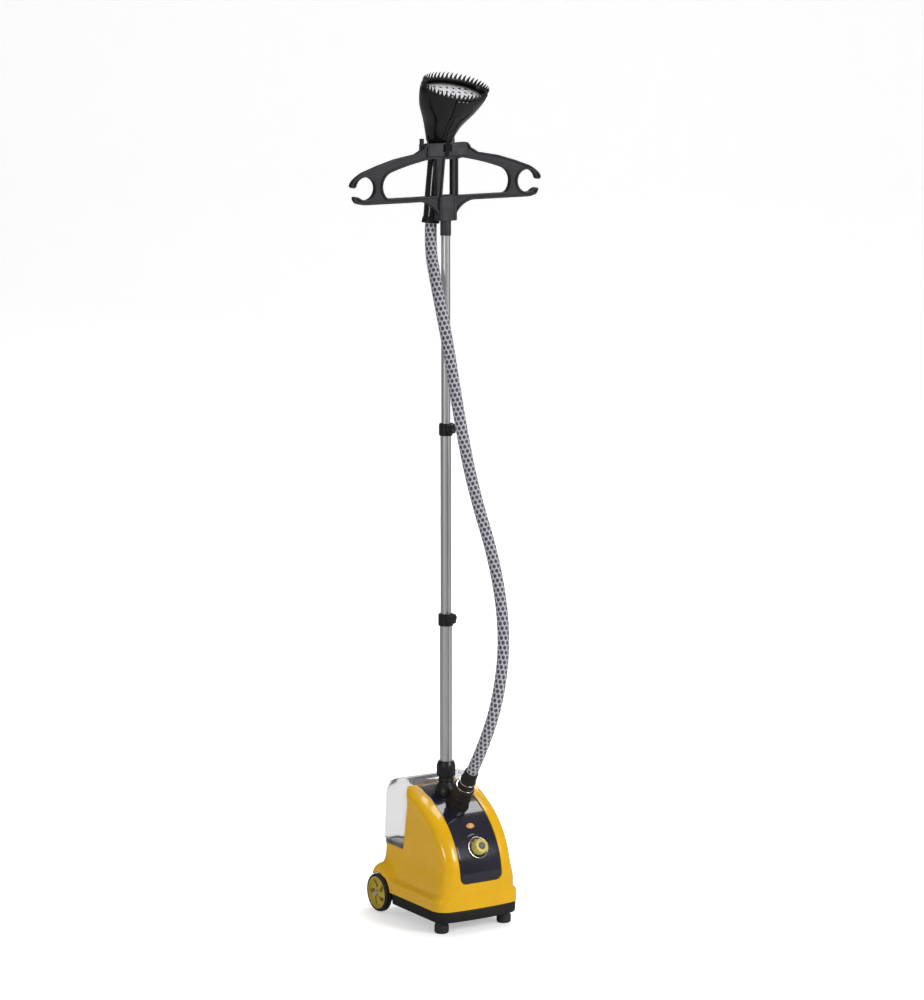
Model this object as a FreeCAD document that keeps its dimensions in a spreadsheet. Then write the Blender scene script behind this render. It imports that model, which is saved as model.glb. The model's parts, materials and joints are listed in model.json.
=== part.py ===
"""Upright garment steamer: wheeled base, telescopic mast, garment hanger, steam hose and steam head.

Millimetres. +Z is up, the control panel faces -Y, and the origin is on the floor under the middle of
the object. Every size is a cell of the sheet "Sizes" or is worked out from one.
"""
import FreeCAD, Part
import math
import os
import re

import Sketcher
from FreeCAD import Placement, Rotation, Vector

doc = FreeCAD.newDocument("garment_steamer")

# ---------------------------------------------------------------------------------------------
# Driving dimensions
# ---------------------------------------------------------------------------------------------
DRIVING = (
    ("mast_y", -3, "mast axis, front to back"),
    ("wall", 3, "wall of the yellow shell"),
    ("gap", 0.3, "clearance between pieces that move apart"),
    ("foot_height", 22, "rubber foot"),
    ("foot_radius", 13, "rubber foot"),
    ("foot_x", 66, "foot centre, each side of the middle"),
    ("foot_y", -93, "foot centre, front to back"),
    ("base_half", 86, "half width of the base at its skirt"),
    ("base_front", -121, "front of the base at its corners"),
    ("front_bow", 561, "radius of the gently bowed front"),
    ("base_rear", 88, "rear of the base"),
    ("rear_half", 74, "half width between the wheels"),
    ("arch_y", 47, "front edge of the wheel recess"),
    ("tail_rear", 98, "rear of the low tail that holds the axle"),
    ("tail_top", 78, "top of the low tail"),
    ("corner_round", 28, "plan radius of the front corners"),
    ("chassis_top", 43, "seam between the black chassis and the shell"),
    ("skirt_top", 70, "top of the wide skirt of the shell"),
    ("shell_half", 72, "half width of the shell above the skirt"),
    ("shell_foot_half", 82, "half width of the shell at the skirt"),
    ("shell_rear", 27, "rear edge of the tall part of the shell"),
    ("nose_z", 96, "height where the front starts to curve back"),
    ("brow_y", -49, "joint of the two arcs of the side outline"),
    ("brow_z", 212, "joint of the two arcs of the side outline"),
    ("crown_z", 243, "top of the side outline at its rear edge"),
    ("front_arc", 143, "radius of the front arc of the side outline"),
    ("crown_arc", 240, "radius of the upper arc of the side outline"),
    ("seat_z", 127, "top of the shell under the tank seat"),
    ("panel_half", 44, "half width of the dark panel"),
    ("panel_bottom", 90, "lower edge of the dark panel"),
    ("panel_skin", 3, "thickness of the dark panel"),
    ("wheel_radius", 35, "tyre"),
    ("wheel_width", 15, "tyre"),
    ("wheel_inner", 78, "inner face of the tyre from the middle"),
    ("hub_radius", 29.5, "hub under the tyre"),
    ("axle_radius", 4, "steel axle"),
    ("axle_y", 89, "axle, front to back"),
    ("tank_half", 70, "half width of the water tank"),
    ("tank_front", 28.5, "front wall of the tank"),
    ("tank_rear", 86.8, "rear wall of the tank"),
    ("tank_bottom", 132, "underside of the tank"),
    ("tank_top", 252, "top of the tank"),
    ("tank_skin", 2.2, "tank wall"),
    ("valve_y", 58, "tank valve axis"),
    ("tube_lower", 11, "outside radius of the lower mast tube"),
    ("tube_middle", 9.5, "outside radius of the middle mast tube"),
    ("tube_upper", 8, "outside radius of the upper mast tube"),
    ("tube_skin", 1, "wall of the mast tubes"),
    ("mast_foot", 135, "bottom of the lower tube inside the base"),
    ("joint_low", 548, "top of the lower tube"),
    ("joint_high", 892, "top of the middle tube"),
    ("tube_overlap", 60, "length of a tube left inside the one below"),
    ("mast_top", 1298, "top of the upper tube inside the hanger"),
    ("knob_angle", 26, "tilt of the panel's normal at the knob"),
    ("lamp_angle", 43, "tilt of the panel's normal at the lamp"),
    ("knob_radius", 12.5, "control knob"),
    ("ring_radius", 20.5, "scale ring round the knob"),
    ("outlet_y", -41, "hose outlet where it leaves the panel"),
    ("outlet_z", 216, "hose outlet where it leaves the panel"),
    ("outlet_lean", 35, "lean of the hose outlet towards the front"),
    ("hanger_top", 1400, "top of the hanger block"),
    ("hanger_foot", 1263, "underside of the hanger socket"),
    ("hanger_thick", 12, "thickness of the hanger"),
    ("hook_x", 167, "centre of the end hooks from the middle"),
    ("hook_z", 1326.5, "centre of the end hooks"),
    ("hook_radius", 20, "inside radius of the end hooks"),
    ("head_y", 18, "neck of the steam head, front to back"),
    ("head_z", 1404, "neck of the steam head"),
    ("head_lean", 5.4, "sideways lean of the resting head"),
    ("face_tilt", 30, "tilt of the steam face from level"),
    ("face_long", 66, "half length of the steam face"),
    ("face_short", 37, "half height of the steam face"),
    ("handle_radius", 13.5, "handle of the steam head"),
    ("handle_bore", 11.5, "inside radius of the handle"),
    ("hose_radius", 10.5, "steam hose"),
)

sheet = doc.addObject("Spreadsheet::Sheet", "Sizes")
for row, (alias, number, note) in enumerate(DRIVING, start=1):
    sheet.set(f"A{row}", note)
    sheet.set(f"B{row}", str(number))
    sheet.setAlias(f"B{row}", alias)
doc.recompute()

CELLS = {alias for alias, _, _ in DRIVING}
SUBPARTS = []


# ---------------------------------------------------------------------------------------------
# Helpers: formulas, primitives, booleans, sketches
# ---------------------------------------------------------------------------------------------
def formula(text):
    """A FreeCAD expression in which each cell's bare name reads that cell."""
    return re.sub(r"[a-z_]+", lambda word: "Sizes." + word[0] if word[0] in CELLS else word[0], str(text))


def size(text):
    """The number that a formula gives."""
    result = sheet.evalExpression(formula(text))
    return float(getattr(result, "Value", result))


def bind(item, **formulas):
    """Ties properties of an object to formulas on the sheet."""
    for name, text in formulas.items():
        item.setExpression(name, formula(text))
    return item


def put(item, at=(0, 0, 0), turn=None):
    """Places an object: turn is (axis, degrees), at is three formulas."""
    if turn:
        axis, angle = turn
        item.Placement = Placement(Vector(), Rotation(Vector(*axis), size(angle)))
    for letter, text in zip("xyz", at):
        item.setExpression(f"Placement.Base.{letter}", formula(text))
    return item


def solid(kind, name, at=(0, 0, 0), turn=None, **formulas):
    """A Part primitive, such as Box or Cylinder, with bound sizes."""
    return put(bind(doc.addObject("Part::" + kind, name), **formulas), at, turn)


ALONG_X = ((0, 1, 0), 90)
ALONG_Y = ((1, 0, 0), -90)
ALONG_FRONT = ((1, 0, 0), 90)


def rod(name, radius, length, at=(0, 0, 0), turn=None):
    """A cylinder that starts at `at` and runs along its own Z."""
    return solid("Cylinder", name, at, turn, Radius=radius, Height=length)


def block(name, low, high):
    """A box between two corners."""
    spans = [f"({b}) - ({a})" for a, b in zip(low, high)]
    return solid("Box", name, low, Length=spans[0], Width=spans[1], Height=spans[2])


def cone(name, first, second, length, at=(0, 0, 0), turn=None):
    """A cone frustum from radius `first` at its foot to radius `second`."""
    return solid("Cone", name, at, turn, Radius1=first, Radius2=second, Height=length)


def fuse(name, *items):
    """One solid made of overlapping solids."""
    result = doc.addObject("Part::MultiFuse", name)
    result.Shapes = list(items)
    return result


def common(name, *items):
    """What all the solids share."""
    result = doc.addObject("Part::MultiCommon", name)
    result.Shapes = list(items)
    return result


def cut(name, base, *tools):
    """A solid less one or more tools."""
    result = doc.addObject("Part::Cut", name)
    result.Base = base
    result.Tool = tools[0] if len(tools) == 1 else fuse(name + "_tools", *tools)
    return result


def group(name, *items):
    """Separate solids that share one node."""
    result = doc.addObject("Part::Compound", name)
    result.Links = list(items)
    return result


def subpart(item, at=None, turn=None):
    """Registers a finished sub-part and places it."""
    item.Label = item.Name
    if at is not None or turn is not None:
        put(item, at or (0, 0, 0), turn)
    SUBPARTS.append(item)
    return item


def tube(name, outer, inner, length, at=(0, 0, 0), turn=None):
    """A straight pipe."""
    skin = rod(name + "_outside", outer, length)
    bore = rod(name + "_bore", inner, f"{length} + 2", (0, 0, -1))
    return put(cut(name, skin, bore), at, turn)


def plane(body, role):
    """An origin plane of a body."""
    return next(item for item in body.Origin.OriginFeatures if item.Role == role)


def trace(sketch, outline):
    """Adds a closed outline to a sketch.

    Each corner is (x, y) or (x, y, radius): with a radius, the edge that leads to the corner is an
    arc, positive when it turns left. Every corner and radius is a constraint bound to the sheet.
    """
    corners = [Vector(size(corner[0]), size(corner[1]), 0) for corner in outline]
    edges = []
    for index, corner in enumerate(outline):
        start, end = corners[index - 1], corners[index]
        if len(corner) == 3:
            radius = size(corner[2])
            chord = end - start
            side = Vector(-chord.y, chord.x, 0).normalize() * math.copysign(1, radius)
            centre = (start + end) * 0.5 + side * math.sqrt(radius ** 2 - chord.Length ** 2 / 4)
            edge = Part.Arc(start, centre - side * abs(radius), end)
        else:
            edge = Part.LineSegment(start, end)
        edges.append(sketch.addGeometry(edge, False))
    rules = []
    formulas = []
    for index, corner in enumerate(outline):
        edge, following = edges[index], edges[(index + 1) % len(edges)]
        spot = nearest_end(sketch, edge, corners[index])
        rules.append(Sketcher.Constraint("Coincident", edge, spot,
                                         following, nearest_end(sketch, following, corners[index])))
        formulas.append(None)
        for kind, axis, value in (("DistanceX", -2, corners[index].x), ("DistanceY", -1, corners[index].y)):
            if abs(value) < 1e-9:
                rules.append(Sketcher.Constraint("PointOnObject", edge, spot, axis))
                formulas.append(None)
            else:
                rules.append(Sketcher.Constraint(kind, edge, spot, value))
                formulas.append(corner[0] if kind == "DistanceX" else corner[1])
        if len(corner) == 3:
            rules.append(Sketcher.Constraint("Radius", edge, abs(size(corner[2]))))
            formulas.append(f"abs({corner[2]})")
    first = sketch.ConstraintCount
    sketch.addConstraint(rules)
    for offset, text in enumerate(formulas):
        if text is not None:
            sketch.setExpression(f"Constraints[{first + offset}]", formula(text))


def nearest_end(sketch, edge, corner):
    """Which end of a sketch edge, 1 or 2, lies on a corner."""
    return min((1, 2), key=lambda spot: sketch.getPoint(edge, spot).distanceToPoint(corner))


def sketch_on(owner, name, role, *outlines):
    """A sketch on an origin plane of a body, with closed outlines."""
    sketch = owner.newObject("Sketcher::SketchObject", name)
    sketch.AttachmentSupport = (plane(owner, role), [""])
    sketch.MapMode = "FlatFace"
    for outline in outlines:
        trace(sketch, outline)
    return sketch


def body(name):
    """An empty PartDesign body."""
    return doc.addObject("PartDesign::Body", name)


def spun(name, outline):
    """A PartDesign body turned about Z from an outline of (radius, height) corners."""
    owner = body(name)
    section = sketch_on(owner, name + "_section", "XZ_Plane", outline)
    turned = owner.newObject("PartDesign::Revolution", name + "_turned")
    turned.Profile = section
    turned.ReferenceAxis = (section, ["V_Axis"])
    turned.Angle = 360
    return owner


def padded(owner, name, role, length, *outlines, middle=False):
    """A pad of a body, from outlines on one of its planes."""
    section = sketch_on(owner, name + "_section", role, *outlines)
    pad = owner.newObject("PartDesign::Pad", name)
    pad.Profile = section
    pad.Midplane = middle
    bind(pad, Length=length)
    return pad


def sliced(name, role, outline, length):
    """A PartDesign body padded to both sides of a plane from one outline."""
    owner = body(name)
    padded(owner, name + "_pad", role, length, outline, middle=True)
    return owner


# ---------------------------------------------------------------------------------------------
# Base: chassis, shell, panel, feet
# ---------------------------------------------------------------------------------------------
def plan_outline(inset):
    """The base seen from above, set in by `inset`: wide in front, narrow between the wheels."""
    half, front = f"base_half - {inset}", f"base_front + {inset}"
    turn = f"corner_round - {inset}"
    side = "base_half - corner_round"
    nose = "base_front + corner_round"
    rear, narrow = f"tail_rear - {inset}", f"rear_half - {inset}"
    return [
        (f"-({half})", nose),
        (f"-({side})", front, turn),
        (side, front, f"front_bow - {inset}"),
        (half, nose, turn),
        (half, f"arch_y - {inset}"),
        (narrow, f"arch_y - {inset}"),
        (narrow, rear),
        (f"-({narrow})", rear),
        (f"-({narrow})", f"arch_y - {inset}"),
        (f"-({half})", f"arch_y - {inset}"),
    ]


def profile_outline(inset, foot="chassis_top"):
    """The shell seen from the side: a front that curves back to the crown, and a low tank seat."""
    front = f"base_front - 1 + {inset}"
    return [
        (front, foot),
        (f"tail_rear - {inset}", foot),
        (f"tail_rear - {inset}", f"tail_top - 12 - {inset}"),
        (f"base_rear - {inset}", f"tail_top - {inset}"),
        (f"base_rear - {inset}", f"seat_z - {inset}"),
        (f"shell_rear - {inset}", f"seat_z - {inset}"),
        (f"shell_rear - {inset}", f"crown_z - {inset}"),
        (f"brow_y + {inset} * 0.5", f"brow_z - {inset} * 0.85", f"crown_arc - {inset}"),
        (front, "nose_z", f"front_arc - {inset}"),
    ]


def breadth_outline(inset, foot="chassis_top"):
    """The shell seen from the front: flared at the skirt, straight above, round at the shoulders."""
    foot_half, half, shoulder = f"shell_foot_half - {inset}", f"shell_half - {inset}", f"24 - {inset}"
    top = f"crown_z + 4 - {inset}"
    return [
        (f"-({foot_half})", foot),
        (foot_half, foot),
        (foot_half, "skirt_top"),
        (half, "skirt_top + 60", "-260"),
        (half, f"{top} - ({shoulder})"),
        (f"{half} - ({shoulder})", top, shoulder),
        (f"-({half} - ({shoulder}))", top),
        (f"-({half})", f"{top} - ({shoulder})", shoulder),
        (f"-({half})", "skirt_top + 60"),
        (f"-({foot_half})", "skirt_top", "-260"),
    ]


def shell_form(name, inset, foot):
    """A solid with the outside of the shell, set in by `inset`."""
    profile = sliced(name + "_profile", "YZ_Plane", profile_outline(inset, foot), "2 * base_half + 10")
    breadth = sliced(name + "_breadth", "XZ_Plane", breadth_outline(inset, foot), "4 * base_half")
    skirt = body(name + "_skirt")
    padded(skirt, name + "_skirt_pad", "XY_Plane", f"skirt_top - {inset} - ({foot})", plan_outline(inset))
    put(skirt, (0, 0, foot))
    narrow = block(name + "_rear", (f"-rear_half + {inset}", "arch_y - 12", foot),
                   (f"rear_half - {inset}", f"tail_rear - {inset}", f"seat_z - {inset}"))
    front = block(name + "_front", ("-base_half", "base_front - 10", foot),
                  ("base_half", f"arch_y - {inset}", "crown_z + 20"))
    upper = common(name + "_upper", profile, breadth, fuse(name + "_zones", narrow, front))
    return fuse(name + "_form", upper, skirt)


def panel_band(name, half, outer, inner, bottom, slack):
    """A curved plate that follows the side outline between two insets, clear of the rear bulkhead."""
    wide = sliced(name + "_band_out", "YZ_Plane", profile_outline(outer), f"2 * ({half})")
    deep = sliced(name + "_band_in", "YZ_Plane", profile_outline(inner), f"2 * ({half}) + 2")
    zone = block(name + "_zone", (f"-({half})", "base_front - 10", bottom),
                 (half, "shell_rear", "crown_z + 10"))
    bulkhead = block(name + "_bulkhead",
                     (f"-({half}) - 1", f"shell_rear - wall - 0.7 + {slack}", "seat_z - 50"),
                     (f"({half}) + 1", "shell_rear + 2", f"crown_z - wall - 0.5 - {slack}"))
    return cut(name + "_trimmed", common(name + "_strip", cut(name + "_band", wide, deep), zone), bulkhead)


def build_chassis():
    """Black tray under the shell, with the axle tunnel, screw bosses and drain hole."""
    tray = body("chassis_tray")
    padded(tray, "tray_pad", "XY_Plane", "chassis_top - foot_height", plan_outline(0))
    hollow = body("chassis_hollow")
    padded(hollow, "hollow_pad", "XY_Plane", "chassis_top - foot_height", plan_outline(2.6))
    put(hollow, (0, 0, 3))
    bosses = [rod(f"boss_{x}_{y}", 6, "chassis_top - foot_height - 1", (x, y, 0))
              for x in (-52, 52) for y in (-78, 34)]
    axle_tunnel = solid("Cylinder", "axle_tunnel", ("-rear_half - 5", "axle_y", "wheel_radius - foot_height"),
                        ALONG_X, Radius="axle_radius + 0.05", Height="2 * rear_half + 10")
    end_blocks = [block(f"axle_block_{side}", (x, "axle_y - 14", 1), (f"{x} + 12", "tail_rear - 1", 20))
                  for side, x in (("left", "-rear_half + 1"), ("right", "rear_half - 13"))]
    drain = rod("drain_hole", 6.2, 10, (30, 20, -3))
    screws = [rod(f"screw_hole_{x}_{y}", 2.1, 30, (x, y, -3)) for x in (-52, 52) for y in (-78, 34)]
    shape = fuse("chassis_solid", cut("chassis_shell", tray, hollow), *bosses, *end_blocks)
    subpart(cut("chassis", shape, axle_tunnel, drain, *screws), (0, 0, "foot_height"))


def build_shell():
    """Yellow shell: skirt, tall hood with the panel opening, tank seat ledge and two wheel arches."""
    outside = shell_form("outer", 0, "chassis_top")
    inside = shell_form("inner", "wall", "chassis_top - 1")
    arches = []
    for side, x in (("left", "-wheel_inner - 12"), ("right", "rear_half - 1")):
        ring = tube(f"arch_ring_{side}", "wheel_radius + 8", "wheel_radius + 4",
                    "wheel_inner + 13 - rear_half", (x, "axle_y", "wheel_radius"), ALONG_X)
        zone = block(f"arch_zone_{side}", (x, "arch_y - 3", "chassis_top + 12"),
                     (f"{x} + wheel_inner + 13 - rear_half", "axle_y + 16", "chassis_top + 50"))
        arches.append(common(f"wheel_arch_{side}", ring, zone))
    opening = panel_band("opening", "panel_half + 0.2", -1, "(wall + 0.4)", "panel_bottom - 0.2", 0.6)
    seat_hole = rod("seat_hole", 25, 30, (0, "valve_y", "seat_z - 15"))
    gland_hole = rod("gland_hole", 7.2, 30, (-44, "base_rear - 15", 96), ALONG_Y)
    solid_shell = fuse("shell_solid", cut("shell_hollow", outside, inside), *arches)
    subpart(cut("body_shell", solid_shell, opening, seat_hole, gland_hole))


def build_panel():
    """Dark curved panel, with holes for the mast, the outlet, the knob and the lamp."""
    strip = panel_band("panel", "panel_half", 0, "panel_skin", "panel_bottom", 0)
    mast_hole = rod("panel_mast_hole", 21.2, 60, (0, "mast_y", "crown_z - 40"))
    outlet_hole = on_outlet(rod("panel_outlet_hole", 12.3, 40), -20)
    outlet_seat = on_outlet(rod("panel_outlet_seat", 16.2, 12), -0.8)
    ring_seat = on_panel(rod("panel_ring_seat", "ring_radius + 0.2", 12), "knob_angle", -1.8)
    knob_hole = on_panel(rod("panel_knob_hole", 4.2, 20), "knob_angle", -10)
    lamp_hole = on_panel(rod("panel_lamp_hole", 4.3, 20), "lamp_angle", -10)
    subpart(cut("front_panel", strip, mast_hole, outlet_hole, outlet_seat, ring_seat, knob_hole, lamp_hole))


def panel_arc_centre():
    """Centre of the front arc of the side outline, as (y, z)."""
    start = Vector(size("brow_y"), size("brow_z"), 0)
    end = Vector(size("base_front - 1"), size("nose_z"), 0)
    chord = end - start
    side = Vector(-chord.y, chord.x, 0).normalize()
    centre = (start + end) * 0.5 + side * math.sqrt(size("front_arc") ** 2 - chord.Length ** 2 / 4)
    return centre.x, centre.y


def on_panel(item, angle, lift):
    """Stands an object on the panel's front arc, along the panel's normal, `lift` above it."""
    centre_y, centre_z = panel_arc_centre()
    reach = f"(front_arc + {lift})"
    place = (0, f"{centre_y} - {reach} * cos({angle} * 1 deg)",
             f"{centre_z} + {reach} * sin({angle} * 1 deg)")
    put(item, place, ((1, 0, 0), f"90 - {angle}"))
    return item


def on_outlet(item, lift):
    """Puts an object on the axis of the hose outlet, `lift` above the panel."""
    put(item, (0, f"outlet_y - ({lift}) * sin(outlet_lean * 1 deg)",
               f"outlet_z + ({lift}) * cos(outlet_lean * 1 deg)"), ((1, 0, 0), "outlet_lean"))
    return item


def build_feet():
    """Two rubber feet under the front."""
    feet = []
    for side, x in (("left", "-foot_x"), ("right", "foot_x")):
        pad = rod(f"foot_pad_{side}", "foot_radius", "foot_height - 2.5", (x, "foot_y", 2.5))
        sole = cone(f"foot_sole_{side}", "foot_radius - 2", "foot_radius", 2.5, (x, "foot_y", 0))
        feet.append(fuse(f"foot_{side}", pad, sole))
    subpart(group("front_feet", *feet))


def build_screws():
    """Four screws that hold the shell to the chassis."""
    screws = []
    for x in (-52, 52):
        for y in (-78, 34):
            head = rod(f"screw_head_{x}_{y}", 3.6, 2, (x, y, "foot_height - 2.1"))
            shank = rod(f"screw_shank_{x}_{y}", 1.9, 17, (x, y, "foot_height - 1"))
            screws.append(fuse(f"screw_{x}_{y}", head, shank))
    subpart(group("chassis_screws", *screws))


def build_wheels():
    """Steel axle, two tyres, two slotted hubs and the caps on the axle's ends."""
    subpart(rod("wheel_axle", "axle_radius", "2 * (wheel_inner + wheel_width) - 6"),
            ("-wheel_inner - wheel_width + 3", "axle_y", "wheel_radius"), ALONG_X)
    for side, x, turn in (("left", "-wheel_inner", ((0, 1, 0), -90)), ("right", "wheel_inner", ALONG_X)):
        tyre = spun(f"tyre_{side}", [
            ("hub_radius", 0), ("wheel_radius - 4", 0), ("wheel_radius", 4, 4),
            ("wheel_radius", "wheel_width - 4"), ("wheel_radius - 4", "wheel_width", 4),
            ("hub_radius", "wheel_width")])
        subpart(tyre, (x, "axle_y", "wheel_radius"), turn)
        disc = spun(f"hub_disc_{side}", [
            ("axle_radius + 0.1", 1), ("hub_radius", 1), ("hub_radius", "wheel_width - 1"),
            ("hub_radius - 3", "wheel_width - 1"), ("hub_radius - 4.5", "wheel_width - 4"),
            (9, "wheel_width - 3"), (7.5, "wheel_width - 1.2"), ("axle_radius + 0.1", "wheel_width - 1.2")])
        slots = []
        for index in range(5):
            slot = block(f"hub_slot_{side}_{index}", (9, -3.6, -1),
                         ("hub_radius - 5", 3.6, "wheel_width + 1"))
            tilt = Placement(Vector(), Rotation(Vector(0, 0, 1), 72 * index + 18))
            lean = Placement(Vector(17, 0, 0), Rotation(Vector(0, 0, 1), 28))
            slots.append(place_shape(f"hub_cut_{side}_{index}", slot, tilt * lean * lean_back()))
        subpart(cut(f"hub_{side}", disc, *slots), (x, "axle_y", "wheel_radius"), turn)
        cap = cone(f"cap_dome_{side}", 6, 4, 2.6)
        subpart(cut(f"axle_cap_{side}", cap, rod(f"cap_socket_{side}", "axle_radius", 1.7, (0, 0, -1))),
                (f"{x} {'-' if side == 'left' else '+'} (wheel_width - 1)", "axle_y", "wheel_radius"), turn)


def lean_back():
    """Moves the middle of a hub slot to the origin before it is leaned."""
    return Placement(Vector(-17, 0, 0), Rotation())


def place_shape(name, item, placement):
    """A group of one object, moved as a whole."""
    moved = group(name, item)
    moved.Placement = placement
    return moved


def build_tank():
    """Tank seat, clear water tank, its cap with the sprung valve, and the valve cup under the seat."""
    tray = block("seat_tray", ("-shell_half", "shell_rear + 0.3", "seat_z"),
                 ("shell_half", "base_rear", "seat_z + 8"))
    recess = block("seat_recess", ("-tank_half - 0.6", "shell_rear - 1", "seat_z + 4.4"),
                   ("tank_half + 0.6", "tank_rear + 0.4", "seat_z + 10"))
    mouth = rod("seat_mouth", 21, 20, (0, "valve_y", "seat_z - 5"))
    subpart(cut("tank_seat", tray, recess, mouth))

    def side_view(inset, top):
        front, rear = f"tank_front + {inset}", f"tank_rear - {inset}"
        return [(front, f"tank_bottom + {inset}"), (rear, f"tank_bottom + {inset}"), (rear, f"{top} - 26"),
                (f"{rear} - 24", top, f"25.1 - {inset}"), (front, top)]

    def plan_view(inset):
        half, front, rear = f"tank_half - {inset}", f"tank_front + {inset}", f"tank_rear - {inset}"
        edge = f"12 - {inset}"
        return [(f"-({half})", front), (half, front), (half, f"{rear} - ({edge})"),
                (f"{half} - ({edge})", rear, edge), (f"-({half}) + {edge}", rear),
                (f"-({half})", f"{rear} - ({edge})", edge)]

    def form(name, inset):
        side = sliced(name + "_side", "YZ_Plane", side_view(inset, f"tank_top - {inset}"), "3 * tank_half")
        plan = body(name + "_plan")
        padded(plan, name + "_plan_pad", "XY_Plane", "tank_top + 20", plan_view(inset))
        return common(name, side, plan)

    neck_hole = rod("tank_neck_hole", 16, 12, (0, "valve_y", "tank_bottom - 5"))
    subpart(cut("water_tank", form("tank_outside", 0), form("tank_inside", "tank_skin"), neck_hole))
    subpart(spun("tank_cap", [
        (6.2, 0), (20, 0), (20, "tank_bottom - seat_z + 2.6"), (15.7, "tank_bottom - seat_z + 2.6"),
        (15.7, 15), (3.2, 15), (3.2, 13), (6.2, 13)]), (0, "valve_y", "seat_z - 2.8"))
    subpart(spun("valve_plunger", [
        (0, 0), (2.6, 0), (2.6, 4), (5.6, 4), (5.6, 6), (2.6, 6), (2.6, 22), (0, 22)]),
        (0, "valve_y", "seat_z - 5"))
    subpart(tube("valve_spring", 5.2, 3.2, 8.4, (0, "valve_y", "seat_z + 1.4")))
    cup = spun("valve_cup", [
        (0, 0), (24, 0), (24, 19.6), (21.2, 19.6), (21.2, 3), (2, 3), (2, 14.6), (0, 14.6)])
    subpart(cup, (0, "valve_y", "seat_z - 19.8"))


def build_steam_parts():
    """Boiler under the panel, its cover, gasket, safety parts, pipes and drain plug."""
    low, high = ("-38", "-76", 47), (38, 20, 84)
    casting = cut("boiler_casting", block("boiler_block", low, high),
                  block("boiler_hollow", (-33, -71, 53), (33, 15, 85)))
    ribs = [block(f"boiler_rib_{index}", (-34, f"-56 + 22 * {index}", 50), (14 if index % 2 else 34,
            f"-53 + 22 * {index}", 78)) for index in range(3)]
    lugs = [rod(f"boiler_lug_{x}_{y}", 5, 7, (x, y, 47)) for x in (-40, 40) for y in (-60, 4)]
    inlet_hole = rod("boiler_inlet_hole", 3.6, 8, (0, 14, 66), ALONG_Y)
    element_holes = [rod(f"element_hole_{x}", 4.05, 10, (x, -78, 60), ALONG_Y) for x in (-20, 20)]
    subpart(cut("boiler_body", fuse("boiler_metal", casting, *ribs, *lugs), inlet_hole, *element_holes))
    subpart(cut("boiler_gasket", block("gasket_sheet", (-38, -76, 84), (38, 20, 86)),
                block("gasket_window", (-33, -71, 83), (33, 15, 87))))
    cover = block("cover_plate", (-38, -76, 86), (38, 20, 90))
    nipple = rod("cover_nipple", 7, 8, (0, -52, 89))
    port = rod("cover_port", 5, 20, (0, -52, 80))
    subpart(cut("boiler_cover", fuse("cover_metal", cover, nipple), port))
    terminals = [rod(f"terminal_{x}", 4, 18, (x, -86, 60), ALONG_Y) for x in (-20, 20)]
    subpart(group("heater_terminals", *terminals))
    disc = rod("thermostat_disc", 11, 5, (20, -14, 90))
    button = rod("thermostat_case", 8, 10, (20, -14, 94))
    subpart(fuse("thermostat", disc, button))
    subpart(rod("thermal_fuse", 3.2, 26), (-20, -30, 93.2), ALONG_Y)
    route = [(0, -52, 97.3), (0, -52, 150), (0, -28, 192)]
    subpart(pipe("steam_pipe", route, 6.5, 5))
    subpart(pipe("water_pipe", [(0, size("valve_y"), 107), (0, size("valve_y"), 66), (0, 20.2, 66)], 4, 2.6))
    plug = fuse("plug_metal", rod("plug_head", 8.5, 3, (30, 20, 18.8)), rod("plug_stem", 6, 9, (30, 20, 21)))
    subpart(cut("drain_plug", plug, block("plug_slot", (24, 19.2, 18), (36, 20.8, 20))))
    gland = fuse("gland_body", rod("gland_barrel", 7, 12, (-44, "base_rear - 8", 96), ALONG_Y),
                 rod("gland_flange", 9, 3, (-44, "base_rear + 0.1", 96), ALONG_Y))
    subpart(cut("cable_gland", gland, rod("gland_bore", 3.6, 30, (-44, "base_rear - 15", 96), ALONG_Y)))
    subpart(group("wire_terminals", *[block(f"wire_block_{index}", (50, f"-30 + 12 * {index}", 47),
                                            (62, f"-20 + 12 * {index}", 59)) for index in range(3)]))


def pipe(name, route, outer, inner):
    """A pipe of straight runs joined by tangent arcs."""
    path = rounded_path(route)
    item = doc.addObject("Part::Feature", name)
    item.Shape = swept(path, route, outer).cut(swept(path, route, inner))
    return item


def rounded_path(route):
    """A wire through the corners of a route, each corner rounded as widely as its runs allow."""
    points = [Vector(*point) for point in route]
    edges = []
    start = points[0]
    for before, corner, after in zip(points, points[1:], points[2:]):
        back, ahead = before - corner, after - corner
        reach = 0.45 * min(back.Length, ahead.Length)
        back.normalize()
        ahead.normalize()
        entry, leave = corner + back * reach, corner + ahead * reach
        half_turn = (math.pi - back.getAngle(ahead)) / 2
        radius = reach / math.tan(half_turn)
        centre_way = (back + ahead).normalize()
        middle = corner + centre_way * (radius / math.cos(half_turn) - radius)
        edges.append(Part.LineSegment(start, entry).toShape())
        edges.append(Part.Arc(entry, middle, leave).toShape())
        start = leave
    edges.append(Part.LineSegment(start, points[-1]).toShape())
    return Part.Wire(edges)


def swept(path, route, radius):
    """A round solid along a path."""
    start, ahead = Vector(*route[0]), Vector(*route[1]) - Vector(*route[0])
    ring = Part.Wire(Part.makeCircle(radius, start, ahead))
    return path.makePipeShell([ring], True, True)


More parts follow.
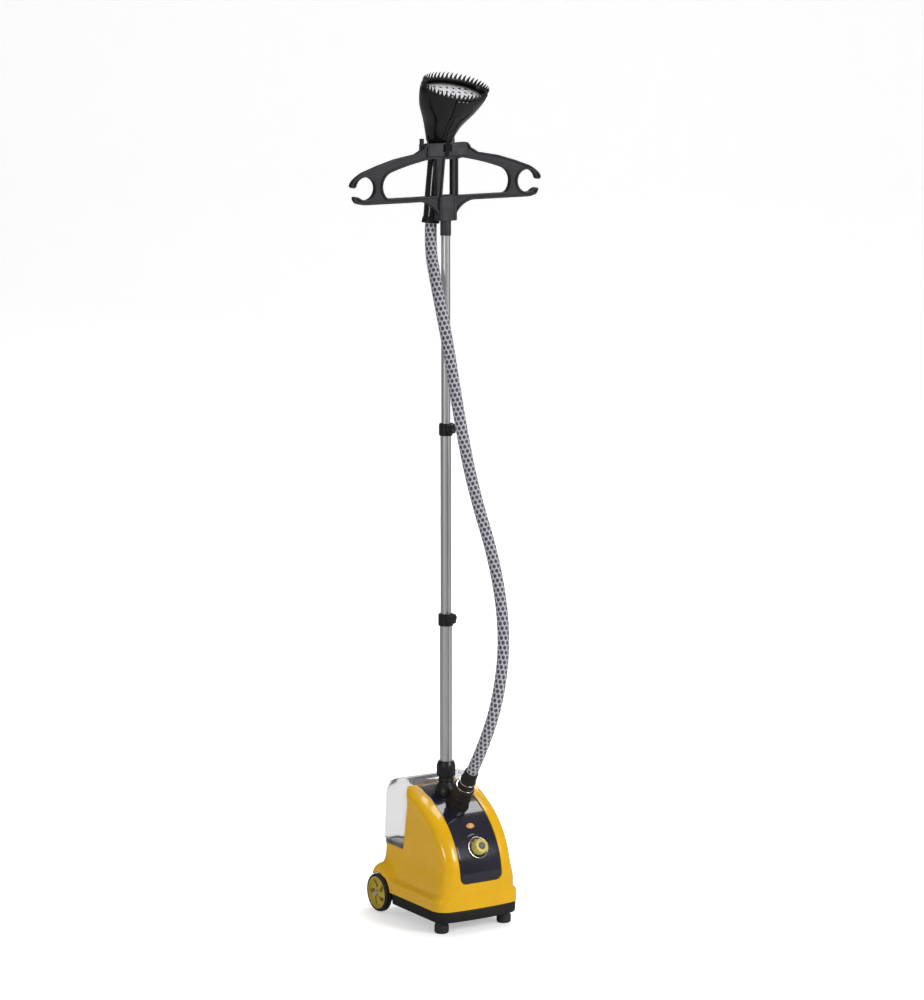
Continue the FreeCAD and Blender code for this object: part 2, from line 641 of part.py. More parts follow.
def build_controls():
    """Scale ring, knob, switch with its spindle, and the lamp."""
    ring = fuse("ring_metal", tube("ring_wall", "ring_radius", "ring_radius - 2.2", 5),
                rod("ring_floor", "ring_radius - 1", 2))
    on_panel(ring, "knob_angle", -1.6)
    bore = on_panel(rod("ring_bore", 4.2, 20), "knob_angle", -5)
    subpart(cut("knob_ring", ring, bore))
    knob_height = 17
    knob = rod("knob_core", "knob_radius - 1", knob_height, (0, 0, 2))
    lobes = [rod(f"knob_lobe_{index}", 2.2, knob_height, (f"(knob_radius - 1.6) * cos({30 * index} * 1 deg)",
             f"(knob_radius - 1.6) * sin({30 * index} * 1 deg)", 2)) for index in range(12)]
    bore = rod("knob_bore", 3.05, 11)
    subpart(on_panel(cut("control_knob", fuse("knob_solid", knob, *lobes), bore), "knob_angle", 0.8))
    case = block("switch_case", (-13, -13, -22), (13, 13, -7))
    spindle = rod("switch_spindle", 3, 15, (0, 0, -8))
    nut = rod("switch_nut", 4.1, 3.4, (0, 0, -7.5))
    subpart(on_panel(fuse("steam_switch", case, spindle, nut), "knob_angle", 3))
    lens = solid("Ellipsoid", "lens_dome", Radius1=3, Radius2=7, Radius3=4.5)
    stem = rod("lens_stem", 4.1, 9.2, (0, 0, -9))
    cap = cut("lens_cap", lens, block("lens_trim", (-9, -9, -9), (9, 9, 0)))
    subpart(on_panel(fuse("lamp_lens", cap, stem), "lamp_angle", 0.1))


def build_outlet():
    """Steam outlet: spigot through the panel, screw nut, and the ribbed cuff of the hose."""
    spigot = spun("hose_outlet", [
        (8, -10), (11.5, -10), (11.5, -0.5), (16, -0.5), (16, 4), (14.5, 16), (11.6, 18), (11.6, 40),
        (8, 40)])
    subpart(on_outlet(spigot, 0))
    subpart(on_outlet(spun("hose_nut", [
        (11.9, 18.6), (18.2, 18.6), (18.2, 25), (17, 26), (17, 38), (15, 41), (11.9, 41)]), 0))
    subpart(on_outlet(spun("hose_cuff", [
        (8, 41.4), (14.6, 41.4), (14.6, 48), (13.6, 49), (13.6, 56), (13.2, 57), (13.2, 64), (12.4, 65),
        (12.4, 84.6), (11.2, 85.2), (8, 85.2)]), 0))


# ---------------------------------------------------------------------------------------------
# Telescopic mast
# ---------------------------------------------------------------------------------------------
def build_mast():
    """Mast socket, lock collar, three aluminium tubes, their guides and the two clamps."""
    axis = (0, "mast_y", 0)
    socket = spun("mast_socket", [
        ("tube_lower + gap", "mast_foot"), ("tube_lower + 3", "mast_foot"), ("tube_lower + 3", 226),
        (21, 226), (20, 235), (15, 246), (13.6, 248), (13.6, 260), ("tube_lower + gap", 260)])
    subpart(socket, axis)
    subpart(spun("mast_collar", [
        ("tube_lower + gap", 260.4), (16, 260.4), (17.4, 262.5), (17.4, 281), (14.6, 289),
        ("tube_lower + gap", 289)]), axis)
    subpart(tube("mast_lower", "tube_lower", "tube_lower - tube_skin", "joint_low - mast_foot"),
            (0, "mast_y", "mast_foot"))
    subpart(tube("mast_middle", "tube_middle", "tube_middle - tube_skin",
                 "joint_high - joint_low + tube_overlap"), (0, "mast_y", "joint_low - tube_overlap"))
    subpart(tube("mast_upper", "tube_upper", "tube_upper - tube_skin",
                 "mast_top - joint_high + tube_overlap"), (0, "mast_y", "joint_high - tube_overlap"))
    subpart(tube("middle_guide", "tube_lower - tube_skin - 0.08", "tube_middle", 14),
            (0, "mast_y", "joint_low - tube_overlap"))
    subpart(tube("upper_guide", "tube_middle - tube_skin - 0.08", "tube_upper", 14),
            (0, "mast_y", "joint_high - tube_overlap"))
    build_clamp("lower", "joint_low", "tube_lower", "tube_middle")
    build_clamp("upper", "joint_high", "tube_middle", "tube_upper")


def build_clamp(level, height, outer_tube, inner_tube):
    """One clamp at the top of a tube: sleeve with a boss, and a lobed knob on its screw."""
    sleeve = spun(f"clamp_sleeve_{level}", [
        (f"{outer_tube} + 0.05", -11), (f"{outer_tube} + 2.2", -11), (f"{outer_tube} + 2.8", -9),
        (f"{outer_tube} + 2.8", 8), (f"{outer_tube} + 1.4", 11), (f"{inner_tube} + gap", 11),
        (f"{inner_tube} + gap", 0.2), (f"{outer_tube} + 0.05", 0.2)])
    boss = rod(f"clamp_boss_{level}", 6, 4.4, (0, "-tube_lower - 0.4", 4), ALONG_FRONT)
    lug = block(f"clamp_lug_{level}", (0, -6, -8), (f"{outer_tube} + 7", 6, 8))
    slit = block(f"clamp_slit_{level}", (0, -1, -9), (f"{outer_tube} + 9", 1, 12))
    clear = rod(f"clamp_clear_{level}", f"{inner_tube} + gap", 40, (0, 0, -20))
    seat = rod(f"clamp_seat_{level}", f"{outer_tube} + 0.05", 21, (0, 0, -20.8))
    thread = rod(f"clamp_thread_{level}", 2.6, 20, (0, -6, 4), ALONG_FRONT)
    body_parts = fuse(f"clamp_parts_{level}", sleeve, boss, lug)
    subpart(cut(f"clamp_{level}", body_parts, clear, seat, slit, thread), (0, "mast_y", height))
    grip = [rod(f"grip_lobe_{level}_{index}", 3.2, 7.5, (f"7.6 * cos({72 * index} * 1 deg)",
                f"7.6 * sin({72 * index} * 1 deg)", 0)) for index in range(5)]
    knob = fuse(f"grip_solid_{level}", rod(f"grip_core_{level}", 7.8, 7.5), *grip)
    subpart(cut(f"clamp_knob_{level}", knob, rod(f"grip_bore_{level}", 2.5, 5, (0, 0, -1))),
            (0, "mast_y - tube_lower - 5.1", f"{height} + 4"), ALONG_FRONT)
    subpart(rod(f"clamp_screw_{level}", 2.5, f"tube_lower + 8.6 - {inner_tube} - gap"),
            (0, f"mast_y - {inner_tube} - gap - 0.2", f"{height} + 4"), ALONG_FRONT)


# ---------------------------------------------------------------------------------------------
# Hanger
# ---------------------------------------------------------------------------------------------
def mirrored(half):
    """Right half of an outline, from the bottom middle up to the top middle, and its mirror image."""
    left = []
    for index in range(len(half) - 1, -1, -1):
        x, y = half[index][:2]
        arc = half[index + 1][2:] if index + 1 < len(half) else ()
        left.append((f"-({x})", y) + tuple(arc))
    return list(half) + left


def build_hanger():
    """Garment hanger with open end hooks and three windows, its tube sleeve and the head cradle."""
    rim = "hook_radius"
    half = [
        (17.5, "hanger_foot"), (17.5, "hanger_foot + 10"), (62, 1298, -46), ("hook_x + 2", 1298),
        ("hook_x + 17", 1301, 60), ("hook_x + 23.5", 1310, 14), ("hook_x + 20", 1313.5, 3),
        (f"hook_x + {rim} * cos(50 deg)", f"hook_z - {rim} * sin(50 deg)", 18),
        (f"hook_x - {rim}", "hook_z", f"-{rim}"),
        ("hook_x", f"hook_z + {rim}", f"-{rim}"),
        (f"hook_x + {rim} * cos(14 deg)", f"hook_z + {rim} * sin(14 deg)", f"-{rim}"),
        ("hook_x + 29", "hook_z + 7", 5), ("hook_x + 23", 1342, 30), ("hook_x + 5", 1354, 90), (140, 1365),
        (105, 1375), (64, 1382), (48, 1391), (40, "hanger_top", 14)]
    window = [(22, 1307.5), (124, 1307.5), (114, 1353, 27), (30, 1373, 500), (22, 1373)]
    slot = [(-11, 1307.5), (10, 1307.5), (10, 1373), (-5, 1373)]
    frame = body("hanger_frame")
    padded(frame, "hanger_plate", "XZ_Plane", "hanger_thick", mirrored(half), window,
           mirror_loop(window), slot, middle=True)
    put(frame, (0, "mast_y - 2", 0))
    socket = block("hanger_socket", (-17.5, "mast_y - 11.5", "hanger_foot"),
                   (17.5, "mast_y + 11.5", "hanger_foot + 44"))
    bore = rod("hanger_bore", "tube_upper + 0.05", "mast_top - hanger_foot + 1.5",
               (0, "mast_y", "hanger_foot - 1"))
    saddle = rod("hanger_saddle", 27, 40, (0, "head_y", "hanger_top - 16"))
    notch = block("hanger_notch", (-9, "mast_y - 9", 1372), (7, "mast_y - 3.5", "hanger_top + 2"))
    subpart(cut("hanger", fuse("hanger_solid", frame, socket), bore, saddle, notch))
    ring = cut("cradle_ring", rod("cradle_disc", 36.5, 22, (0, "head_y", "hanger_top - 26")),
               block("cradle_front", (-40, -60, 1300), (40, "mast_y + 4.1", 1500)),
               block("cradle_back", (-40, "head_y + 12", 1300), (40, 100, 1500)))
    prongs = [rod(f"cradle_prong_{side}", 4, 24, (x, "head_y + 7", "hanger_top - 18"))
              for side, x in (("left", -31.8), ("right", 31.8))]
    arms = cut("cradle_arms", fuse("cradle_solid", ring, *prongs),
               rod("cradle_mouth", 27.6, 80, (0, "head_y", "hanger_top - 40")))
    bridge = block("cradle_bridge", (-34, "mast_y + 4.1", "hanger_top - 26"),
                   (34, "mast_y + 7.6", "hanger_top - 17"))
    subpart(fuse("head_cradle", arms, bridge))
    subpart(tube("mast_sleeve", "tube_upper + 1.6", "tube_upper + 0.05", "26"),
            (0, "mast_y", "hanger_foot - 26.2"))


def mirror_loop(loop):
    """The mirror image of a closed outline across the middle, still going round the same way."""
    arcs = [corner[2:] for corner in loop]
    count = len(loop)
    result = []
    for index in range(count - 1, -1, -1):
        x, y = loop[index][:2]
        result.append((f"-({x})", y) + tuple(arcs[(index + 1) % count]))
    return result


# ---------------------------------------------------------------------------------------------
# Steam head, in its own frame: origin at the neck, handle down -Z, steam face towards -Y and up
# ---------------------------------------------------------------------------------------------
HEAD_TURN = ((0, 1, 0), "head_lean")
HEAD_SPOT = (0, "head_y", "head_z")

# Sections of the funnel: half length, half height, forward step, height and tilt.
FUNNEL = (
    (23.5, 23.5, 0, 0, 0),
    (34.5, 30, 5, 27, 10),
    (53.5, 37.5, 17, 56, 20),
    ("face_long - 1", "face_short + 0.5", 31, 80, "face_tilt - 2"),
    ("face_long", "face_short", 36, 89.4, "face_tilt"),
)


def oval(name, long, short, at=(0, 0, 0), tilt=0):
    """An ellipse, long across the head, tilted back about X."""
    return put(bind(doc.addObject("Part::Ellipse", name), MajorRadius=long, MinorRadius=short), at,
               ((1, 0, 0), tilt))


def lofted(name, sections):
    """A smooth solid through closed sections."""
    result = doc.addObject("Part::Loft", name)
    result.Sections = list(sections)
    result.Solid = True
    return result


def funnel(name, inset):
    """The funnel of the head, set in by `inset`."""
    return lofted(name, [oval(f"{name}_section_{index}", f"{long} - {inset}", f"{short} - {inset}",
                              (0, f"-{step}", height), tilt)
                         for index, (long, short, step, height, tilt) in enumerate(FUNNEL)])


def oval_disc(name, long, short, thick):
    """An elliptical disc, level, from its underside at the origin."""
    disc = doc.addObject("Part::Extrusion", name)
    disc.Base = oval(name + "_edge", long, short)
    disc.DirMode = "Custom"
    disc.Dir = Vector(0, 0, 1)
    disc.Solid = True
    return bind(disc, LengthFwd=thick)


def on_face(item, lift):
    """Puts an object on the steam face, along its normal, `lift` above the rim."""
    put(item, (0, f"-36 - ({lift}) * sin(face_tilt * 1 deg)", f"89.4 + ({lift}) * cos(face_tilt * 1 deg)"),
        ((1, 0, 0), "face_tilt"))
    return item


def head_part(name, item):
    """Registers a piece made in the head's frame."""
    moved = group(name, item)
    subpart(moved, HEAD_SPOT, HEAD_TURN)


def build_head():
    """Funnel, steam plate, bristle ring, brush latch, rest hook, handle and cuff."""
    hollow = cut("funnel_hollow", funnel("funnel_outside", 0), funnel("funnel_inside", 2.6))
    head_part("head_shell", hollow)
    plate = oval_disc("plate_disc", "face_long - 5.2", "face_short - 5.2", 1.6)
    pitch = 13
    rows = [(row, column, pitch * (column - 3.5 + 0.5 * (row % 2)), pitch * (row - 1))
            for row in range(3) for column in range(8 - row % 2)]
    holes = [rod(f"plate_hole_{row}_{column}", 2.6, 4, (x, y, -1))
             for row, column, x, y in rows if (x / 56) ** 2 + (y / 27.5) ** 2 < 1]
    head_part("steam_plate", on_face(cut("plate_metal", plate, *holes), -7))
    rim = cut("bristle_rim", oval_disc("rim_out", "face_long", "face_short", 3),
              put(oval_disc("rim_in", "face_long - 5", "face_short - 5", 8), (0, 0, -2)))
    teeth = [cone(f"bristle_{index}", 1.5, 0.7, 7,
                  (f"(face_long - 2.5) * cos({360 / 44 * index} * 1 deg)",
                   f"(face_short - 2.5) * sin({360 / 44 * index} * 1 deg)", 1.5)) for index in range(44)]
    head_part("bristle_ring", on_face(fuse("bristle_solid", rim, *teeth), 0.1))
    latch = put(group("latch_plate", block("latch_block", (-14, -4, 0), (14, 4, 16))), (0, -54.6, 48),
                ((1, 0, 0), 30))
    head_part("brush_latch", cut("latch_metal", latch, funnel("latch_relief", -0.1)))
    hook = sliced("hook_blade", "YZ_Plane", [
        (-29.4, -28), (-25.4, -28), (-25.4, -3), (-24.6, 6), (-30, 24), (-46, 50), (-54, 54), (-60, 50),
        (-55.5, 41), (-38.5, 20), (-29.4, 2)], 9)
    head_part("rest_hook", cut("hook_metal", hook, funnel("hook_relief", -0.1), block("hook_latch_relief",
              (-20, -90, 44), (20, -30, 90))))
    shoulder = lofted("grip_shoulder", [oval(f"grip_section_{index}", radius, radius, (0, y, z))
                                        for index, (radius, y, z) in enumerate((
                                            (23.5, 0, -0.2), (18, 3, -10), (14.8, 6, -22),
                                            ("handle_radius", 7.5, -36)))])
    shaft = rod("grip_shaft", "handle_radius", 100.5, (0, 7.5, -136))
    bore = rod("grip_bore", "handle_bore", 118, (0, 7.5, -140))
    head_part("head_handle", cut("grip_solid", fuse("grip_outside", shoulder, shaft), bore))
    cuff = spun("cuff_ring", [
        ("handle_bore", -147.5), (15, -147.5), (16, -146), (16, -138), ("handle_radius + 0.4", -136.2),
        ("handle_bore", -136.2)])
    put(cuff, (0, 7.5, 0))
    head_part("handle_cuff", cuff)


# ---------------------------------------------------------------------------------------------
# Steam hose: route points of its middle line, from the cuff on the base up into the handle
# ---------------------------------------------------------------------------------------------
HOSE_ROUTE = (
    (0, -90.2, 286.2),
    (1, -133, 348),
    (14, -159, 440),
    (31, -150, 545),
    (34, -113, 665),
    (15, -68, 795),
    (-5, -54, 925),
    (-21, -42, 1055),
    (-30, -21, 1150),
    (-17.2, 25.5, 1225),
    (-9.3, 25.5, 1308),
)


def build_hose():
    """The hose as a plain tube of straight runs and arcs, with a check of its volume and radii."""
    item = doc.addObject("Part::Feature", "steam_hose")
    path = rounded_path(HOSE_ROUTE)
    radius = size("hose_radius")
    item.Shape = swept(path, HOSE_ROUTE, radius)
    subpart(item)
    expected = math.pi * radius ** 2 * path.Length
    radii = [round(edge.Curve.Radius) for edge in path.Edges if hasattr(edge.Curve, "Radius")]
    print(f"hose: length {path.Length:.0f} mm, arc radii {radii}, "
          f"volume {item.Shape.Volume:.0f} of {expected:.0f} mm3")


def check_and_export():
    """Recomputes the document, refuses a failed object, and writes each sub-part as a STEP file."""
    doc.recompute()
    failed = [item.Name for item in doc.Objects if {"Invalid", "Error"} & set(item.State)]
    failed += [item.Label for item in SUBPARTS if item.Shape.isNull() or not item.Shape.isValid()]
    if failed:
        raise RuntimeError("failed objects: " + ", ".join(failed))
    os.makedirs("parts", exist_ok=True)
    for item in SUBPARTS:
        item.Shape.exportStep(f"parts/{item.Label}.step")
    print(len(SUBPARTS), "sub-parts written")


for build in (build_chassis, build_shell, build_panel, build_feet, build_screws, build_wheels,
              build_tank, build_steam_parts, build_controls, build_outlet, build_mast, build_hanger,
              build_head, build_hose):
    build()
check_and_export()
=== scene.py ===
"""Visual model of an upright garment steamer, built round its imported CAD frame.

Metres in the scene; the builders think in millimetres and `MM` converts. +Z is up and the control panel
faces -Y. Each sub-assembly is a class that reads its place from the frame, builds its meshes and dresses
them with the finishes below.
"""

import json
import logging
import math
from collections.abc import Callable, Iterable, Sequence
from dataclasses import dataclass, field
from enum import Enum
from typing import ClassVar

import bmesh
import bpy
from mathutils import Euler, Matrix, Vector

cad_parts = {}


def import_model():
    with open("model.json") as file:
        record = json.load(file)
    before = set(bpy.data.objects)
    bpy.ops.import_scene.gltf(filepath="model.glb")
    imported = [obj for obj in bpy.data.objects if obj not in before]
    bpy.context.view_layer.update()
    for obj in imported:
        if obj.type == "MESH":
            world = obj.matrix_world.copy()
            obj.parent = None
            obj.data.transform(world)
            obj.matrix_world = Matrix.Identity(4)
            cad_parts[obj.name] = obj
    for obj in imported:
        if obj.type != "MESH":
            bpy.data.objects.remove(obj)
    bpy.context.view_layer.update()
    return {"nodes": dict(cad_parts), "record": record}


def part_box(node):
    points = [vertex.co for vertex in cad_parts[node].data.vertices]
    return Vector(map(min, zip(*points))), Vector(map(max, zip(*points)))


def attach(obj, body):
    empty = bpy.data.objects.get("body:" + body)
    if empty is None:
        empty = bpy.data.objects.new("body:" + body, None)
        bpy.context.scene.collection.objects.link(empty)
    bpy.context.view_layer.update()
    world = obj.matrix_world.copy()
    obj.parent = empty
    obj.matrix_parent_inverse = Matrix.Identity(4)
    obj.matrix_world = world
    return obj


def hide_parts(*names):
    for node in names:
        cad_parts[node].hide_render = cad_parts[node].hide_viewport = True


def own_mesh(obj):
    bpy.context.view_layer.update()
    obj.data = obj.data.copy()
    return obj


MM = 0.001
DUST_COLOUR = (0.42, 0.40, 0.37)
LOG = logging.getLogger("garment_steamer")

Point = tuple[float, float, float]
Profile = Sequence[tuple[float, float]]
Swell = Callable[[float, float, float], float]


# ---------------------------------------------------------------------------------------------
# Mesh helpers
# ---------------------------------------------------------------------------------------------
def span(node: str) -> tuple[Vector, Vector]:
    """Box of a CAD node in millimetres.

    Args:
        node: name of the node.

    Returns:
        Its lowest and highest corner.
    """
    low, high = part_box(node)
    return Vector(low) / MM, Vector(high) / MM


def centre(node: str) -> Vector:
    """Middle of a CAD node's box, in millimetres."""
    low, high = span(node)
    return (low + high) / 2


def ease(value: float, low: float, high: float) -> float:
    """A smooth step from 0 at `low` to 1 at `high`."""
    t = min(1.0, max(0.0, (value - low) / (high - low)))
    return t * t * (3 - 2 * t)


def make_mesh(name: str, verts: Iterable[Sequence[float]], faces: Iterable[Sequence[int]],
              angle: float = 40.0) -> bpy.types.Object:
    """Makes a smooth-shaded object from millimetre points, with hard edges over an angle.

    Args:
        name: piece name.
        verts: points in millimetres.
        faces: corner indices of each face.
        angle: edges sharper than this many degrees stay hard.

    Returns:
        The new object, linked to the scene.
    """
    mesh = bpy.data.meshes.new(name)
    mesh.from_pydata([tuple(c * MM for c in v) for v in verts], [], [tuple(f) for f in faces])
    welded = bmesh.new()
    welded.from_mesh(mesh)
    bmesh.ops.remove_doubles(welded, verts=welded.verts, dist=0.01 * MM)
    bmesh.ops.recalc_face_normals(welded, faces=welded.faces)
    welded.to_mesh(mesh)
    welded.free()
    return place_mesh(name, mesh, angle)


@dataclass
class Soup:
    """Points and faces gathered for one mesh."""

    verts: list[Vector] = field(default_factory=list)
    faces: list[tuple[int, ...]] = field(default_factory=list)

    def grid(self, rows: Sequence[Sequence[Sequence[float]]], closed: bool = False) -> None:
        """Adds a sheet of quads between rows of points.

        Args:
            rows: rows with the same number of points.
            closed: whether each row joins back to its first point.
        """
        start, count = len(self.verts), len(rows[0])
        for row in rows:
            self.verts.extend(Vector(p) for p in row)
        for i in range(len(rows) - 1):
            for j in range(count if closed else count - 1):
                k = (j + 1) % count
                a, b = start + i * count, start + (i + 1) * count
                self.faces.append((a + j, a + k, b + k, b + j))

    def block(self, rings: Sequence[Sequence[Sequence[float]]], foot: bool = True) -> None:
        """Adds a solid between closed rings, capped at its end and, with `foot`, at its start."""
        self.grid(rings, closed=True)
        self.fan(rings[-1])
        if foot:
            self.fan(list(reversed(rings[0])))

    def join(self, other: "Soup") -> None:
        """Adds everything of another soup."""
        start = len(self.verts)
        self.verts += other.verts
        self.faces += [tuple(i + start for i in face) for face in other.faces]

    def fan(self, ring: Sequence[Sequence[float]]) -> None:
        """Closes a ring of points with one face."""
        start = len(self.verts)
        self.verts.extend(Vector(p) for p in ring)
        self.faces.append(tuple(range(start, start + len(ring))))

    def mirror(self) -> None:
        """Adds the mirror image across the middle plane X 0."""
        start = len(self.verts)
        self.verts.extend([Vector((-v.x, v.y, v.z)) for v in self.verts])
        self.faces.extend([tuple(start + i for i in reversed(f)) for f in self.faces])

    def place(self, matrix: Matrix) -> "Soup":
        """Moves everything by a matrix in millimetres and returns itself."""
        self.verts = [matrix @ v for v in self.verts]
        return self

    def build(self, name: str, angle: float = 40.0) -> bpy.types.Object:
        """Makes the object."""
        return make_mesh(name, self.verts, self.faces, angle)


def oval(half_x: float, half_y: float, z: float, count: int, y: float = 0.0) -> list[Vector]:
    """Points round an ellipse at a height."""
    turns = [2 * math.pi * i / count for i in range(count)]
    return [Vector((half_x * math.cos(a), y + half_y * math.sin(a), z)) for a in turns]


def spaced(first: float, last: float, count: int, start: int = 0) -> list[float]:
    """Even steps from `first` to `last`, numbered from `start` to `count`."""
    return [first + (last - first) * i / count for i in range(start, count + 1)]


def dip(radius: float, way: float) -> float:
    """How far a circle of a radius falls away at a distance along its tangent."""
    return radius - math.sqrt(max(0.0, radius ** 2 - way ** 2))


def curve_mesh(curve: bpy.types.Curve) -> bpy.types.Mesh:
    """Turns a curve into a mesh and removes the curve."""
    holder = bpy.data.objects.new(curve.name, curve)
    bpy.context.scene.collection.objects.link(holder)
    bpy.context.view_layer.update()
    mesh = bpy.data.meshes.new_from_object(holder.evaluated_get(bpy.context.evaluated_depsgraph_get()))
    bpy.data.objects.remove(holder)
    bpy.data.curves.remove(curve)
    return mesh


def place_mesh(name: str, mesh: bpy.types.Mesh, angle: float | None = None) -> bpy.types.Object:
    """Makes a smooth-shaded object of a mesh; edges sharper than `angle` degrees stay hard."""
    for polygon in mesh.polygons:
        polygon.use_smooth = True
    if angle is not None:
        mesh.set_sharp_from_angle(angle=math.radians(angle))
    item = bpy.data.objects.new(name, mesh)
    bpy.context.scene.collection.objects.link(item)
    return item


def lathe(profile: Profile, segments: int = 64,
          swell: Swell | None = None) -> Soup:
    """Turns a profile of (radius, height) about Z.

    Args:
        profile: corners from foot to top; radius 0 closes an end.
        segments: number of columns.
        swell: extra radius for (angle, radius, height), such as flutes.

    Returns:
        The turned surface.
    """
    soup = Soup()
    rows = []
    for radius, height in profile:
        row = []
        for step in range(segments):
            turn = 2 * math.pi * step / segments
            reach = radius + (swell(turn, radius, height) if swell and radius > 0 else 0)
            row.append((reach * math.cos(turn), reach * math.sin(turn), height))
        rows.append(row)
    soup.grid(rows, closed=True)
    return soup


def softened(profile: Profile, radius: float = 0.5, steps: int = 3) -> list[tuple[float, float]]:
    """Rounds the inner corners of a profile.

    Args:
        profile: corners of (radius, height).
        radius: rounding, cut down where the edges are short.
        steps: points along each rounding.

    Returns:
        The rounded profile.
    """
    points = [Vector(p) for p in profile]
    result = [tuple(points[0])]
    for before, corner, after in zip(points, points[1:], points[2:]):
        back, ahead = before - corner, after - corner
        reach = min(radius, back.length * 0.45, ahead.length * 0.45)
        start, end = corner + back.normalized() * reach, corner + ahead.normalized() * reach
        for step in range(steps + 1):
            t = step / steps
            point = start * (1 - t) ** 2 + corner * (2 * t * (1 - t)) + end * t ** 2
            result.append((point.x, point.y))
    result.append(tuple(points[-1]))
    return result


def flutes(count: int, depth: float, low: float, high: float, fade: float = 1.5) -> Swell:
    """A swell of lengthwise ribs between two heights.

    Args:
        count: ribs round the ring.
        depth: how far the hollows sink.
        low: height where they start.
        high: height where they end.
        fade: height over which they fade in and out.

    Returns:
        A function for `lathe`.
    """
    def swell(turn: float, radius: float, height: float) -> float:
        """Extra radius at a point."""
        strength = ease(height, low, low + fade) * (1 - ease(height, high - fade, high))
        wave = abs(math.sin(turn * count / 2)) ** 0.6
        return depth * strength * (wave - 1)
    return swell


def stand(at: Sequence[float], axis: Sequence[float], turn: float = 0.0) -> Matrix:
    """A matrix that takes +Z onto an axis at a point.

    Args:
        at: the point, in millimetres.
        axis: where +Z goes.
        turn: degrees about the axis first.

    Returns:
        The matrix.
    """
    quaternion = Vector(axis).normalized().to_track_quat("Z", "Y")
    return Matrix.Translation(Vector(at)) @ quaternion.to_matrix().to_4x4() @ Matrix.Rotation(
        math.radians(turn), 4, "Z")


def arc(centre_x: float, centre_y: float, radius: float, first: float, last: float, steps: int
        ) -> list[tuple[float, float]]:
    """Points of an arc in a plane, from angle `first` to `last` in degrees."""
    return [(centre_x + radius * math.cos(math.radians(first + (last - first) * i / steps)),
             centre_y + radius * math.sin(math.radians(first + (last - first) * i / steps)))
            for i in range(steps + 1)]


def bulge(start: tuple[float, float], end: tuple[float, float], radius: float, steps: int = 10
          ) -> list[tuple[float, float]]:
    """Points of an arc between two ends, positive radius when it turns left, without its start."""
    a, b = Vector(start), Vector(end)
    chord = b - a
    side = Vector((-chord.y, chord.x)).normalized() * math.copysign(1, radius)
    middle = (a + b) / 2 + side * math.sqrt(max(0.0, radius ** 2 - chord.length_squared / 4))
    first, last = a - middle, b - middle
    turn = first.angle_signed(last)
    result = []
    for i in range(1, steps + 1):
        angle = -turn * i / steps
        point = middle + Vector((first.x * math.cos(angle) - first.y * math.sin(angle),
                                 first.x * math.sin(angle) + first.y * math.cos(angle)))
        result.append((point.x, point.y))
    return result


# ---------------------------------------------------------------------------------------------
# Shader node groups: they give only colours, masks, values and normals
# ---------------------------------------------------------------------------------------------
class Effect(Enum):
    """Shared surface effects."""

    GRAIN = "fine_grain"
    WEAR = "edge_wear"
    DUST = "settled_dust"
    BRUSH = "brushed_lines"


class Nodes:
    """A small writer for node trees."""

    def __init__(self, tree: bpy.types.NodeTree) -> None:
        """Starts on a tree."""
        self.tree = tree
        self.count = 0

    def add(self, kind: str, inputs: dict[str | int, object] | None = None, **settings: object
            ) -> bpy.types.Node:
        """Adds a node.

        Args:
            kind: node type, such as ShaderNodeMath.
            inputs: value or output socket for each input.
            **settings: properties of the node.

        Returns:
            The node.
        """
        node = self.tree.nodes.new(kind)
        node.location = (self.count * 180 - 1400, -(self.count % 3) * 220)
        self.count += 1
        for name, value in settings.items():
            setattr(node, name, value)
        for key, value in (inputs or {}).items():
            self.feed(node.inputs[key], value)
        return node

    def feed(self, socket: bpy.types.NodeSocket, value: object) -> None:
        """Links an output socket to an input, or sets the input's value."""
        if isinstance(value, bpy.types.NodeSocket):
            self.tree.links.new(value, socket)
        else:
            socket.default_value = value

    def math(self, operation: str, *values: object, clamp: bool = False) -> bpy.types.NodeSocket:
        """A Math node's output."""
        node = self.add("ShaderNodeMath", dict(enumerate(values)), operation=operation, use_clamp=clamp)
        return node.outputs[0]

    def mix(self, factor: object, first: object, second: object) -> bpy.types.NodeSocket:
        """A colour mix's output; a colour is given as three numbers or as a socket."""
        node = self.add("ShaderNodeMix", data_type="RGBA")
        self.feed(node.inputs[0], factor)
        for index, value in ((6, first), (7, second)):
            self.feed(node.inputs[index], (*value, 1.0) if isinstance(value, tuple) else value)
        return node.outputs[2]

    def spread(self, value: object, low: float, high: float, new_low: float = 0.0, new_high: float = 1.0
               ) -> bpy.types.NodeSocket:
        """A smooth Map Range's output."""
        node = self.add("ShaderNodeMapRange", {0: value, 1: low, 2: high, 3: new_low, 4: new_high},
                        interpolation_type="SMOOTHSTEP")
        return node.outputs[0]


